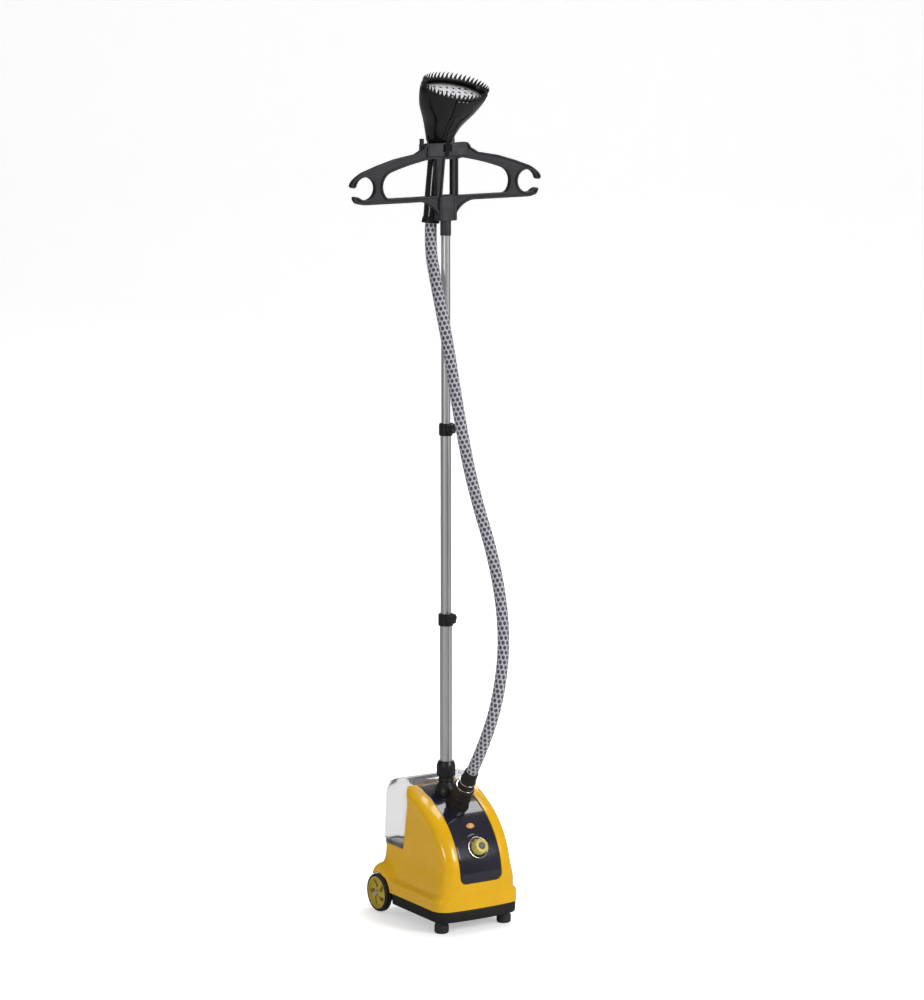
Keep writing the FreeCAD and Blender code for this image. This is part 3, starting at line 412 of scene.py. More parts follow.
def effect_group(effect: Effect) -> bpy.types.NodeTree:
    """Builds one shared effect, or returns it if it is there.

    Args:
        effect: which one.

    Returns:
        The node group.
    """
    if effect.value in bpy.data.node_groups:
        return bpy.data.node_groups[effect.value]
    tree = bpy.data.node_groups.new(effect.value, "ShaderNodeTree")
    for name, way in (("Scale", "INPUT"), ("Amount", "INPUT"), ("Mask", "OUTPUT"), ("Height", "OUTPUT")):
        tree.interface.new_socket(name, in_out=way, socket_type="NodeSocketFloat")
    nodes = Nodes(tree)
    source = nodes.add("NodeGroupInput")
    scale, amount = source.outputs["Scale"], source.outputs["Amount"]
    place = nodes.add("ShaderNodeTexCoord").outputs["Object"]
    if effect is Effect.GRAIN:
        fine = nodes.add("ShaderNodeTexNoise", {"Vector": place, "Scale": scale, "Detail": 3.0})
        broad = nodes.add("ShaderNodeTexNoise", {"Vector": place, "Scale": 22.0, "Detail": 2.0})
        mask = nodes.math("MULTIPLY", nodes.spread(broad.outputs[0], 0.3, 0.7), amount)
        height = fine.outputs[0]
    elif effect is Effect.WEAR:
        edge = nodes.add("ShaderNodeNewGeometry").outputs["Pointiness"]
        patches = nodes.add("ShaderNodeTexNoise", {"Vector": place, "Scale": scale, "Detail": 4.0})
        mask = nodes.math("MULTIPLY", nodes.spread(edge, 0.52, 0.60),
                          nodes.spread(patches.outputs[0], 0.4, 0.65))
        mask = nodes.math("MULTIPLY", mask, amount, clamp=True)
        height = patches.outputs[0]
    elif effect is Effect.DUST:
        normal = nodes.add("ShaderNodeSeparateXYZ", {0: nodes.add("ShaderNodeNewGeometry").outputs["Normal"]})
        specks = nodes.add("ShaderNodeTexNoise", {"Vector": place, "Scale": scale, "Detail": 6.0,
                                                  "Roughness": 0.7})
        mask = nodes.math("MULTIPLY", nodes.spread(normal.outputs[2], 0.3, 1.0),
                          nodes.spread(specks.outputs[0], 0.35, 0.75))
        mask = nodes.math("MULTIPLY", mask, amount, clamp=True)
        height = specks.outputs[0]
    else:
        squash = nodes.add("ShaderNodeMapping", {"Vector": place, "Scale": (1.0, 1.0, 0.02)})
        lines = nodes.add("ShaderNodeTexNoise", {"Vector": squash.outputs[0], "Scale": scale, "Detail": 2.0})
        mask = nodes.math("MULTIPLY", lines.outputs[0], amount)
        height = lines.outputs[0]
    nodes.add("NodeGroupOutput", {"Mask": mask, "Height": height})
    return tree


def use_effect(nodes: Nodes, effect: Effect, scale: float, amount: float) -> bpy.types.Node:
    """Places a shared effect in a material.

    Args:
        nodes: the material's writer.
        effect: which one.
        scale: its size; larger is finer.
        amount: its strength.

    Returns:
        The group node, with outputs Mask and Height.
    """
    return nodes.add("ShaderNodeGroup", {"Scale": scale, "Amount": amount}, node_tree=effect_group(effect))


# ---------------------------------------------------------------------------------------------
# Finishes
# ---------------------------------------------------------------------------------------------
def start_material(name: str) -> tuple[bpy.types.Material, Nodes, bpy.types.Node]:
    """An empty material with a Principled shader.

    Args:
        name: material name.

    Returns:
        The material, its writer and its shader.
    """
    material = bpy.data.materials.new(name)
    material.use_nodes = True
    material.node_tree.nodes.clear()
    nodes = Nodes(material.node_tree)
    shader = nodes.add("ShaderNodeBsdfPrincipled")
    nodes.add("ShaderNodeOutputMaterial", {"Surface": shader.outputs[0]})
    return material, nodes, shader


def surface(nodes: Nodes, shader: bpy.types.Node, colour: object, rough: object,
            bump: tuple[float, float, object] | None = None, **constants: float) -> None:
    """Feeds a shader.

    Args:
        nodes: the material's writer.
        shader: its Principled shader.
        colour: base colour socket.
        rough: roughness socket.
        bump: strength, distance in metres and height socket.
        **constants: values for the shader's own sockets, with _ for a space.
    """
    nodes.feed(shader.inputs["Base Color"], colour)
    nodes.feed(shader.inputs["Roughness"], rough)
    if bump:
        strength, distance, height = bump
        relief = nodes.add("ShaderNodeBump", {"Strength": strength, "Distance": distance, "Height": height})
        nodes.feed(shader.inputs["Normal"], relief.outputs[0])
    for name, value in constants.items():
        shader.inputs[name.replace("_", " ")].default_value = value


def mirror_rays(nodes: Nodes, ray: bpy.types.bpy_prop_collection) -> bpy.types.NodeSocket:
    """1 for rays that were mirrored, 0 for the rest and for those that went through clear plastic."""
    return nodes.math("MULTIPLY", ray["Is Glossy Ray"],
                      nodes.math("SUBTRACT", 1.0, ray["Is Transmission Ray"]))


@dataclass(frozen=True)
class Moulded:
    """Moulded plastic or rubber: a base colour that varies, fine grain, worn edges and a little dust."""

    name: str
    colour: Point
    shade: Point
    roughness: float = 0.35
    rough_spread: float = 0.08
    coat: float = 0.0
    coat_roughness: float = 0.05
    grain: float = 900.0
    depth: float = 0.02
    wear: float = 0.25
    worn: Point = (0.30, 0.30, 0.30)
    dust: float = 0.06
    specular: float = 0.5

    def build(self) -> bpy.types.Material:
        """Makes the material."""
        material, nodes, shader = start_material(self.name)
        grain = use_effect(nodes, Effect.GRAIN, self.grain, 1.0)
        wear = use_effect(nodes, Effect.WEAR, 60.0, self.wear)
        dust = use_effect(nodes, Effect.DUST, 90.0, self.dust)
        colour = nodes.mix(grain.outputs["Mask"], self.colour, self.shade)
        colour = nodes.mix(wear.outputs["Mask"], colour, self.worn)
        colour = nodes.mix(dust.outputs["Mask"], colour, DUST_COLOUR)
        rough = nodes.math("MULTIPLY_ADD", grain.outputs["Mask"], self.rough_spread, self.roughness)
        rough = nodes.math("MULTIPLY_ADD", dust.outputs["Mask"], 0.5, rough, clamp=True)
        surface(nodes, shader, colour, rough, (self.depth * 10, 0.0002, grain.outputs["Height"]),
                Coat_Weight=self.coat, Coat_Roughness=self.coat_roughness, Specular_IOR_Level=self.specular)
        return material


@dataclass(frozen=True)
class Metal:
    """Bare metal with brushed or cast variation."""

    name: str
    colour: Point
    roughness: float = 0.25
    lines: float = 0.12
    scale: float = 900.0
    depth: float = 0.05

    def build(self) -> bpy.types.Material:
        """Makes the material."""
        material, nodes, shader = start_material(self.name)
        brush = use_effect(nodes, Effect.BRUSH, self.scale, 1.0)
        dust = use_effect(nodes, Effect.DUST, 120.0, 0.08)
        darker = tuple(c * 0.82 for c in self.colour)
        colour = nodes.mix(brush.outputs["Mask"], self.colour, darker)
        rough = nodes.math("MULTIPLY_ADD", brush.outputs["Mask"], self.lines, self.roughness - self.lines / 2)
        rough = nodes.math("ADD", rough, dust.outputs["Mask"], clamp=True)
        surface(nodes, shader, colour, rough, (self.depth, 0.0002, brush.outputs["Height"]), Metallic=1.0)
        return material


@dataclass(frozen=True)
class Clear:
    """Clear moulded plastic that lets light through."""

    name: str
    colour: Point
    transmission: float = 0.92
    roughness: float = 0.05
    bend: float = 1.07

    def build(self) -> bpy.types.Material:
        """Makes the material."""
        material, nodes, shader = start_material(self.name)
        grain = use_effect(nodes, Effect.GRAIN, 300.0, 1.0)
        shade = tuple(c * 0.985 for c in self.colour)
        surface(nodes, shader, nodes.mix(grain.outputs["Mask"], self.colour, shade),
                nodes.math("MULTIPLY_ADD", grain.outputs["Mask"], 0.03, self.roughness),
                Transmission_Weight=self.transmission, IOR=self.bend)
        return material


@dataclass(frozen=True)
class Braid:
    """White braid over a hose, with rows of dark dots that climb round it and painted shade in the gaps
    between its strands. Reads the hose's UV map.
    """

    name: str
    thread: Point
    dot: Point
    around: int = 8
    rows: float = 118.0
    shift: float = 0.38
    strands: int = 24
    turns: int = 400

    def build(self) -> bpy.types.Material:
        """Makes the material."""
        material, nodes, shader = start_material(self.name)
        tube = nodes.add("ShaderNodeUVMap", uv_map="along").outputs[0]
        place = nodes.add("ShaderNodeSeparateXYZ", {0: tube})
        across, along = place.outputs[0], place.outputs[1]
        row = nodes.math("MULTIPLY", along, self.rows)
        shift = nodes.math("MULTIPLY", nodes.math("FLOOR", row), self.shift)
        column = nodes.math("MULTIPLY_ADD", across, float(self.around), shift)
        dx = nodes.math("MULTIPLY", nodes.math("SUBTRACT", nodes.math("FRACT", column), 0.5), 1.15)
        dy = nodes.math("SUBTRACT", nodes.math("FRACT", row), 0.5)
        distance = nodes.math("SQRT", nodes.math("ADD", nodes.math("MULTIPLY", dx, dx),
                                                 nodes.math("MULTIPLY", dy, dy)))
        dots = nodes.spread(distance, 0.47, 0.38)
        turns = nodes.math("MULTIPLY", across, 2 * math.pi * self.strands)
        climb = nodes.math("MULTIPLY", along, 2 * math.pi * self.turns)
        weave = nodes.math("MAXIMUM", *(nodes.math("SINE", nodes.math(way, turns, climb))
                                        for way in ("ADD", "SUBTRACT")))
        soft = nodes.spread(weave, -0.6, 1.0)
        grain = use_effect(nodes, Effect.GRAIN, 700.0, 0.5)
        # painted shade: the gaps between the braid's strands are drawn at 0.55 of the thread colour
        strand_gap_shade = tuple(c * 0.55 for c in self.thread)
        colour = nodes.mix(nodes.math("MULTIPLY", dots, 0.94), nodes.mix(soft, strand_gap_shade, self.thread), self.dot)
        height = nodes.math("SUBTRACT", soft, nodes.math("MULTIPLY", dots, 0.8))
        surface(nodes, shader, colour, nodes.math("MULTIPLY_ADD", grain.outputs["Mask"], 0.15, 0.55),
                (0.6, 0.0006, height), Sheen_Weight=0.25)
        return material


@dataclass(frozen=True)
class Paper:
    """Matt floor and backdrop, a little darker in glossy surfaces so that they keep their colour."""

    name: str
    colour: Point
    glow: float = 0.42
    dimmed: float = 0.6

    def build(self) -> bpy.types.Material:
        """Makes the material."""
        material, nodes, shader = start_material(self.name)
        grain = use_effect(nodes, Effect.GRAIN, 200.0, 0.3)
        shade = tuple(c * 0.98 for c in self.colour)
        colour = nodes.mix(grain.outputs["Mask"], self.colour, shade)
        ray = nodes.add("ShaderNodeLightPath").outputs
        dark = nodes.math("MULTIPLY", mirror_rays(nodes, ray), self.dimmed)
        surface(nodes, shader, nodes.mix(dark, colour, (0.0, 0.0, 0.0)), 0.9, Specular_IOR_Level=0.1,
                Emission_Color=(1.0, 1.0, 1.0, 1.0))
        seen = nodes.math("MULTIPLY", ray["Is Camera Ray"], self.glow)
        nodes.feed(shader.inputs["Emission Strength"], seen)
        return material


FINISHES: dict[str, Moulded | Metal | Clear | Braid] = {
    "black_chassis": Moulded("chassis_black", (0.011, 0.0105, 0.010), (0.016, 0.015, 0.014), 0.5, wear=0.15,
                             worn=(0.08, 0.08, 0.08), specular=0.3),
    "yellow_gloss": Moulded("shell_yellow", (0.79, 0.435, 0.001), (0.75, 0.41, 0.001), 0.24, 0.05, coat=0.4,
                            depth=0.002, wear=0.06, worn=(0.85, 0.55, 0.06), dust=0.01, specular=0.3),
    "panel_gloss": Moulded("panel_black", (0.012, 0.011, 0.022), (0.017, 0.015, 0.028), 0.14, 0.04, coat=0.8,
                           depth=0.002, wear=0.08, dust=0.01, specular=0.35),
    "rubber": Moulded("foot_rubber", (0.020, 0.020, 0.020), (0.032, 0.031, 0.030), 0.75, dust=0.15),
    "tyre": Moulded("tyre_rubber", (0.014, 0.013, 0.011), (0.024, 0.022, 0.019), 0.62, depth=0.05, dust=0.12,
                    wear=0.3, worn=(0.10, 0.095, 0.09)),
    "zinc_steel": Metal("zinc_steel", (0.62, 0.62, 0.61), 0.3),
    "olive_plastic": Moulded("hub_olive", (0.50, 0.37, 0.030), (0.43, 0.31, 0.026), 0.36, coat=0.25,
                             wear=0.15, worn=(0.65, 0.55, 0.2), specular=0.35),
    "chrome": Metal("chrome_plate", (0.80, 0.80, 0.81), 0.08, 0.04),
    "grey_plastic": Moulded("seat_grey", (0.055, 0.055, 0.062), (0.075, 0.075, 0.080), 0.32, coat=0.3),
    "clear_tank": Clear("tank_clear", (0.955, 0.957, 0.965)),
    "white_plastic": Moulded("nylon_white", (0.72, 0.72, 0.69), (0.66, 0.66, 0.63), 0.45),
    "cast_aluminium": Metal("cast_aluminium", (0.60, 0.60, 0.61), 0.5, 0.2, 400.0, 0.2),
    "seal_rubber": Moulded("silicone_red", (0.35, 0.09, 0.05), (0.30, 0.08, 0.045), 0.6),
    "brass": Metal("brass", (0.62, 0.43, 0.16), 0.3),
    "black_plastic": Moulded("fitting_black", (0.008, 0.0072, 0.007), (0.013, 0.012, 0.011), 0.34, 0.08,
                             coat=0.1, wear=0.2, worn=(0.08, 0.08, 0.08), specular=0.35),
    "knob_yellow": Moulded("knob_yellow", (0.66, 0.56, 0.11), (0.60, 0.51, 0.10), 0.35, coat=0.3, wear=0.3,
                           worn=(0.9, 0.85, 0.5)),
    "lamp_amber": Moulded("lamp_amber", (0.75, 0.36, 0.14), (0.68, 0.32, 0.12), 0.25, coat=0.6),
    "black_rubber": Moulded("cuff_rubber", (0.009, 0.0085, 0.008), (0.014, 0.013, 0.012), 0.5, dust=0.04,
                            wear=0.2, worn=(0.08, 0.08, 0.08), specular=0.3),
    "mast_aluminium": Metal("mast_aluminium", (0.88, 0.88, 0.89), 0.36, 0.10, 1400.0),
    "satin_black": Moulded("hanger_satin", (0.026, 0.025, 0.029), (0.034, 0.032, 0.037), 0.46, 0.06,
                           grain=1400.0, depth=0.02, wear=0.2, worn=(0.10, 0.10, 0.11), specular=0.3),
    "head_gloss": Moulded("head_black", (0.006, 0.0055, 0.005), (0.009, 0.008, 0.0075), 0.16, 0.03, coat=0.35,
                          depth=0.002, wear=0.1, worn=(0.06, 0.06, 0.06), dust=0.01, specular=0.3),
    "polished_steel": Metal("plate_steel", (0.22, 0.22, 0.225), 0.34, 0.06),
    "braided_hose": Braid("hose_braid", (0.60, 0.59, 0.65), (0.030, 0.026, 0.045)),
}


class Wardrobe:
    """Builds each finish once and dresses pieces with it."""

    def __init__(self) -> None:
        """Starts empty."""
        self.made: dict[str, bpy.types.Material] = {}

    def get(self, slot: str) -> bpy.types.Material:
        """The material of a record slot."""
        if slot not in self.made:
            self.made[slot] = FINISHES[slot].build()
        return self.made[slot]

    def dress(self, piece: bpy.types.Object, slot: str) -> bpy.types.Object:
        """Gives a new piece the material of a slot."""
        piece.data.materials.clear()
        piece.data.materials.append(self.get(slot))
        return piece

    def carry(self, nodes: dict[str, bpy.types.Object], record: dict) -> int:
        """Dresses every carried-over CAD node by its slot in the record.

        Args:
            nodes: CAD objects by node name.
            record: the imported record.

        Returns:
            How many were dressed.
        """
        slots = {row["node"]: row["material_slot"] for row in record["subparts"]}
        for name, item in nodes.items():
            for place in item.material_slots:
                place.material = self.get(slots[name])
        return len(nodes)


@dataclass
class Assembly:
    """What every sub-assembly shares: the wardrobe, the record's joints and the list of its pieces."""

    wardrobe: Wardrobe
    joints: list[dict] = field(default_factory=list)
    pieces: list[bpy.types.Object] = field(default_factory=list, init=False)

    def finish(self, piece: bpy.types.Object, slot: str, body: str, *nodes: str) -> bpy.types.Object:
        """Dresses a piece, sets it on its body and lets it stand for CAD nodes.

        Args:
            piece: the new object.
            slot: material slot.
            body: CAD body that it moves with.
            *nodes: CAD nodes that it replaces.

        Returns:
            The piece.
        """
        self.wardrobe.dress(piece, slot)
        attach(piece, body)
        if nodes:
            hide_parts(*nodes)
        self.pieces.append(piece)
        return piece

    def turned(self, name: str, place: Matrix, profile: Profile, soft: float, segments: int, slot: str,
               body: str, *nodes: str, swell: Swell | None = None) -> bpy.types.Object:
        """Turns a profile with soft corners, stands it in its place and finishes it.

        Args:
            name: piece name.
            place: takes the profile's axis to its place.
            profile: corners of (radius, height).
            soft: rounding of the corners.
            segments: number of columns.
            slot: material slot.
            body: CAD body that it moves with.
            *nodes: CAD nodes that it replaces.
            swell: extra radius for (angle, radius, height).

        Returns:
            The piece.
        """
        soup = lathe(softened(profile, soft), segments, swell).place(place)
        return self.finish(soup.build(name), slot, body, *nodes)

    def joint(self, name: str) -> tuple[Vector, Vector]:
        """Place in millimetres and axis of a joint of the record."""
        joint = next(j for j in self.joints if j["name"] == name)
        return Vector(joint["pos_m"]) / MM, Vector(joint["axis"])


# ---------------------------------------------------------------------------------------------
# Base
# ---------------------------------------------------------------------------------------------
@dataclass
class SideOutline:
    """The side outline of the hood: upright nose, front arc and crown arc."""

    nose: float = -122.0
    nose_top: float = 96.0
    arc_y: float = 20.726
    arc_z: float = 87.151
    arc_radius: float = 143.0
    brow_z: float = 212.0
    crown_y: float = 78.3
    crown_z: float = 8.56
    crown_radius: float = 240.0

    def front(self, z: float) -> float:
        """Y of the hood's front at a height."""
        if z <= self.nose_top:
            return self.nose
        if z <= self.brow_z:
            return self.arc_y - math.sqrt(self.arc_radius ** 2 - (z - self.arc_z) ** 2)
        return self.crown_y - math.sqrt(self.crown_radius ** 2 - (z - self.crown_z) ** 2)

    def normal(self, z: float) -> Vector:
        """Outward normal (0, y, z) of the hood's front at a height."""
        step = 0.4
        lower, upper = self.front(z - step), self.front(z + step)
        return Vector((0, -2 * step, upper - lower)).normalized()


@dataclass
class Base(Assembly):
    """Yellow shell, dark panel, chassis, seat and the small fittings of the base."""

    outline: SideOutline = field(default_factory=SideOutline)
    opening_half: float = 44.4
    opening_foot: float = 89.6
    opening_round: float = 13.0
    lean: float = 13.0
    mast_hole: float = 15.5
    shoulder: float = 24.0
    shoulder_half: float = 48.0
    shoulder_z: float = 223.0
    lean_top: float = 215.0
    arch_radius: float = 39.5
    wheel_wall: float = 73.6
    tail_front: float = 46.0
    tail_top: float = 79.0
    guard_radius: float = 36.6
    nose_half: float = 58.0
    nose_corner: float = 28.0
    bow_depth: float = 3.0
    bow_curve: float = 1122.0
    arch_swell: float = 24.0
    field_rise: float = 1.2
    field_over: float = 15.0
    field_curve: float = 0.0035
    knob_room: float = 24.5
    skirt_half: float = field(init=False)
    seam: float = field(init=False)
    under: float = field(init=False)
    tail_rear: float = field(init=False)
    hood_rear: float = field(init=False)
    rear: float = field(init=False)
    seat: float = field(init=False)
    crown: float = field(init=False)
    arch_half: float = field(init=False)
    axle_y: float = field(init=False)
    axle_z: float = field(init=False)
    knob_z: float = field(init=False)

    def half_width(self, z: float) -> float:
        """Half width of the shell at a height: skirt, waist, straight side, shoulder."""
        if z > self.shoulder_z:
            return self.shoulder_half + self.shoulder - dip(self.shoulder, z - self.shoulder_z)
        return (self.skirt_half + 1.0 - 7.2 * ease(z, 62, 72) - 7.2 * ease(z, 70, 122)
                - 0.6 * ease(z, 120, 222))

    def nose_y(self, z: float) -> float:
        """Front of the shell at a height."""
        return (self.outline.front(z) + 1.0 * (1 - ease(z, 60, 78))
                + 1.6 * ease(z, 60, 74) * (1 - ease(z, 74, self.outline.nose_top)))

    def bow(self, x: float, z: float) -> float:
        """How far the skirt's front bows out at a place across."""
        return (1 - ease(z, 60, 90)) * max(0.0, self.bow_depth - x * x / self.bow_curve)

    def opening_edge(self, z: float) -> float:
        """Half width of the panel opening at a height, round at its foot."""
        rise = min(self.opening_round, max(0.0, z - self.opening_foot))
        drop = self.opening_round - rise
        return self.opening_half - self.opening_round + math.sqrt(self.opening_round ** 2 - drop ** 2)

    def shell_row(self, z: float) -> list[Point]:
        """Points of the right half of the shell at a height, from the opening's edge to the rear."""
        width, nose = self.half_width(z), self.nose_y(z)
        edge = self.opening_edge(z)
        corner = min(27 - 4 * ease(z, 62, 90), 0.94 * (self.hood_back(z) - nose),
                     0.94 * (width - self.opening_half))
        flat = width - corner
        row = [(x, nose - self.bow(x, z), z) for x in spaced(edge, flat, 14)[:-1]]
        for i in range(13):
            turn = math.pi / 2 * i / 12
            x = flat + corner * math.sin(turn)
            row.append((x, nose + corner * (1 - math.cos(turn)) - self.bow(x, z), z))
        return row + [self.side_point(y, z) for y in spaced(nose + corner, self.hood_back(z), 16, 1)]

    def front_row(self, z: float) -> list[Point]:
        """Points of the front at a height, from the middle to the edge of the opening."""
        return [(x, self.nose_y(z) - self.bow(x, z), z) for x in spaced(0.0, self.opening_edge(z), 8)]

    def hood_back(self, z: float) -> float:
        """Y of the hood's rear edge at a height: it leans forward up to the shoulder."""
        if z <= self.seat:
            return self.hood_rear
        top = self.lean_top
        if z <= top:
            return self.hood_rear - self.lean * (z - self.seat) / (top - self.seat)
        return self.hood_rear - self.lean * (1 - ((z - top) / (self.crown - top)) ** 2)

    def side_point(self, y: float, z: float) -> Point:
        """A point of the side wall, with the swell of the wheel arch."""
        width = self.half_width(z)
        reach = math.hypot(y - self.axle_y, z - self.axle_z)
        part = min(1.0, max(0.0, (reach - self.arch_radius) / self.arch_swell))
        return (width + max(0.0, self.arch_half - width) * (1 - part * part) ** 1.4, y, z)

    def rear_end(self, z: float) -> float:
        """Y where the side wall ends at a height: the arch, or the rear corner."""
        if z < self.axle_z + self.arch_radius:
            return self.axle_y - math.sqrt(self.arch_radius ** 2 - (z - self.axle_z) ** 2)
        return self.rear

    def rear_row(self, z: float) -> list[Point]:
        """Points behind the hood at a height, along the side to the arch or round to the rear."""
        end = self.rear_end(z)
        row = [self.side_point(y, z) for y in spaced(self.hood_rear, end, 22)]
        if z >= self.axle_z + self.arch_radius:
            x = row[-1][0]
            corner = min(9.0, 3 + (z - self.axle_z - self.arch_radius) * 0.4)
            row[-1] = (x - corner * 0.06, end - corner * 0.3, z)
            row.append((x - corner * 0.35, end - corner * 0.06, z))
            row.append((x - corner, end, z))
            row.extend((x * (1 - t / 6) - corner * (1 - t / 6), end, z) for t in range(1, 7))
        return row

    def read_frame(self) -> None:
        """Takes the sizes that the frame gives."""
        low, high = span("chassis")
        self.skirt_half, self.seam, self.under = high.x, high.z, low.z
        self.tail_rear = high.y
        self.hood_rear = span("front_panel")[1].y
        self.rear = span("tank_seat")[1].y
        self.seat = span("tank_seat")[0].z
        self.crown = span("body_shell")[1].z
        self.arch_half = span("wheel_axle")[1].x - 2.5
        hub = centre("hub_left")
        self.axle_y, self.axle_z = hub.y, hub.z
        self.knob_z = centre("knob_ring").z

    def build_shell(self) -> bpy.types.Object:
        """The yellow shell in one welded mesh."""
        soup = Soup()
        foot, turn = self.opening_foot, self.opening_round
        low = spaced(self.seam, foot, 22)
        bend = [foot + turn * (1 - math.cos(math.radians(a))) for a in (15, 30, 45, 60, 75, 90)]
        brow = self.outline.brow_z
        heights = low + bend + spaced(bend[-1], self.seat, 12, 1) + spaced(self.seat, brow, 24, 1)
        heights += spaced(brow, self.crown, 26, 1)
        soup.grid([self.shell_row(z) for z in heights])
        soup.grid([self.front_row(z) for z in low])
        arch_top = self.axle_z + self.arch_radius
        lower = spaced(self.seam, arch_top - 0.02, 16)
        soup.grid([self.rear_row(z) for z in lower])
        upper = [arch_top + (self.seat - arch_top) * (i / 22) ** 1.2 for i in range(23)]
        soup.grid([self.rear_row(z) for z in upper])
        self.add_lips(soup, heights, lower)
        soup.mirror()
        piece = soup.build("shell_hood", 50)
        return self.finish(piece, "yellow_gloss", "base", "body_shell")

    def add_lips(self, soup: Soup, heights: list[float], lower: list[float]) -> None:
        """Adds the opening's rolled lip, the hood's rear wall and the edges of arch, seat and seam."""
        lip = []
        for z in heights:
            if z >= self.opening_foot - 0.01:
                edge, out = self.opening_edge(z), self.outline.normal(z)
                base = Vector((edge, self.nose_y(z) - self.bow(edge, z), z))
                lip.append([base - Vector((way, 0, 0)) - out * sink
                            for way, sink in ((0, 0), (0.35, 0.15), (0.6, 0.6), (0.6, 3.2))])
        soup.grid(lip)
        foot = self.opening_foot
        edge = self.opening_edge(foot)
        soup.grid([[(edge * i / 8, self.nose_y(foot) + drop, foot + rise) for i in range(9)]
                   for drop, rise in ((0, 0), (0.15, 0.35), (0.6, 0.6), (3.2, 0.6))])
        soup.grid([[(x, self.hood_back(z), z) for x in spaced(0.0, self.half_width(z), 10)]
                   for z in spaced(self.seat, self.crown, 40)])
        arch = []
        for z in lower:
            x, y, _ = self.rear_row(z)[-1]
            arch.append([(x, y, z), (x - 0.8, y + 0.6, z), (self.wheel_wall, y + 0.6, z)])
        soup.grid(arch)
        seat = self.seat
        row = self.rear_row(seat)
        soup.grid([row, [(x * 0.97, y if y < self.rear - 1 else y - 2, seat + 0.6) for x, y, _ in row],
                   [(x * 0.9, min(y, self.rear - 5), seat + 0.6) for x, y, _ in row]])
        bottom = self.seam
        edge_row = [(0.0, self.nose_y(bottom) - self.bow_depth, bottom), *self.front_row(bottom)[1:],
                    *self.shell_row(bottom)[1:], *self.rear_row(bottom)[1:]]
        soup.grid([edge_row, [(x * 0.992, y * 0.992, z - 0.4) for x, y, z in edge_row],
                   [(x * 0.97, y * 0.975, z - 0.2) for x, y, z in edge_row]])

    def build_tail(self) -> bpy.types.Object:
        """The low tail between the wheels, with a rounded top edge."""
        soup = Soup()
        half, rear, low, high = self.wheel_wall, self.tail_rear, self.seam, self.tail_top
        ring = [(half, self.tail_front), (half, rear - 7), *arc(half - 7, rear - 7, 7, 0, 90, 6)[1:],
                (0, rear)]
        rows = []
        for z, inset in ((low, 0.8), (low + 0.8, 0), (high - 5, 0), (high - 3, 0.7), (high - 1.2, 2.2),
                         (high - 0.2, 4.6), (high, 8)):
            rows.append([(max(0.0, x - inset if x > 1 else x), min(y, rear - inset), z) for x, y in ring])
        rows.append([(x * 0.2, min(y, rear - 12), high) for x, y in ring])
        soup.grid(rows)
        soup.mirror()
        return self.finish(soup.build("shell_tail", 50), "yellow_gloss", "base")

    def panel_lift(self, x: float, z: float) -> float:
        """Height of the panel's raised lower field over the rest."""
        way = math.hypot(x, (z - self.knob_z) * 1.12)
        over = z - (self.knob_z + self.field_over - self.field_curve * x * x)
        return self.field_rise * (1 - ease(min(over, way - self.knob_room), -0.9, 0.9))

    def build_panel(self) -> bpy.types.Object:
        """The dark curved panel with its raised lower field round the knob."""
        soup = Soup()
        foot, gap = self.opening_foot + 0.7, 0.75
        heights = [foot + self.opening_round * (1 - math.cos(math.radians(a))) for a in range(0, 91, 10)]
        heights += spaced(heights[-1], self.outline.brow_z, 90, 1)
        heights += spaced(self.outline.brow_z, self.crown - 0.3, 24, 1)
        rows = []
        for z in heights:
            half = self.opening_edge(z - 0.7 + 0.001) - gap
            out = self.outline.normal(z)
            row = []
            for x in [half * t / 40 for t in range(-40, 41)]:
                lift = -0.9 + self.panel_lift(x, z) * ease(half - abs(x), 0.3, 2.0)
                lift -= 0.5 * (1 - ease(half - abs(x), 0, 0.8))
                row.append(Vector((x, self.outline.front(z), z)) + out * lift)
            sides = [row[0] - out * 2.2, row[-1] - out * 2.2]
            rows.append([sides[0], *row, sides[1]])
        rows.insert(0, [p + Vector((0, 2.2, 0.2)) for p in rows[0]])
        soup.grid(rows)
        panel = soup.build("control_panel", 60)
        self.open_mast_hole(panel)
        return self.finish(panel, "panel_gloss", "base", "front_panel")

    def open_mast_hole(self, panel: bpy.types.Object) -> None:
        """Opens the panel where the mast goes through, with a round edge under the boot."""
        mast = centre("mast_lower")
        edit = bmesh.new()
        edit.from_mesh(panel.data)
        inside = [face for face in edit.faces
                  if (face.calc_center_median() / MM - mast).xy.length < self.mast_hole]
        bmesh.ops.delete(edit, geom=inside, context="FACES")
        for vert in edit.verts:
            away = Vector((vert.co.x / MM - mast.x, vert.co.y / MM - mast.y))
            if vert.is_boundary and 0 < away.length < self.mast_hole + 3:
                away = away.normalized() * self.mast_hole
                vert.co.x, vert.co.y = (mast.x + away.x) * MM, (mast.y + away.y) * MM
        edit.to_mesh(panel.data)
        edit.free()

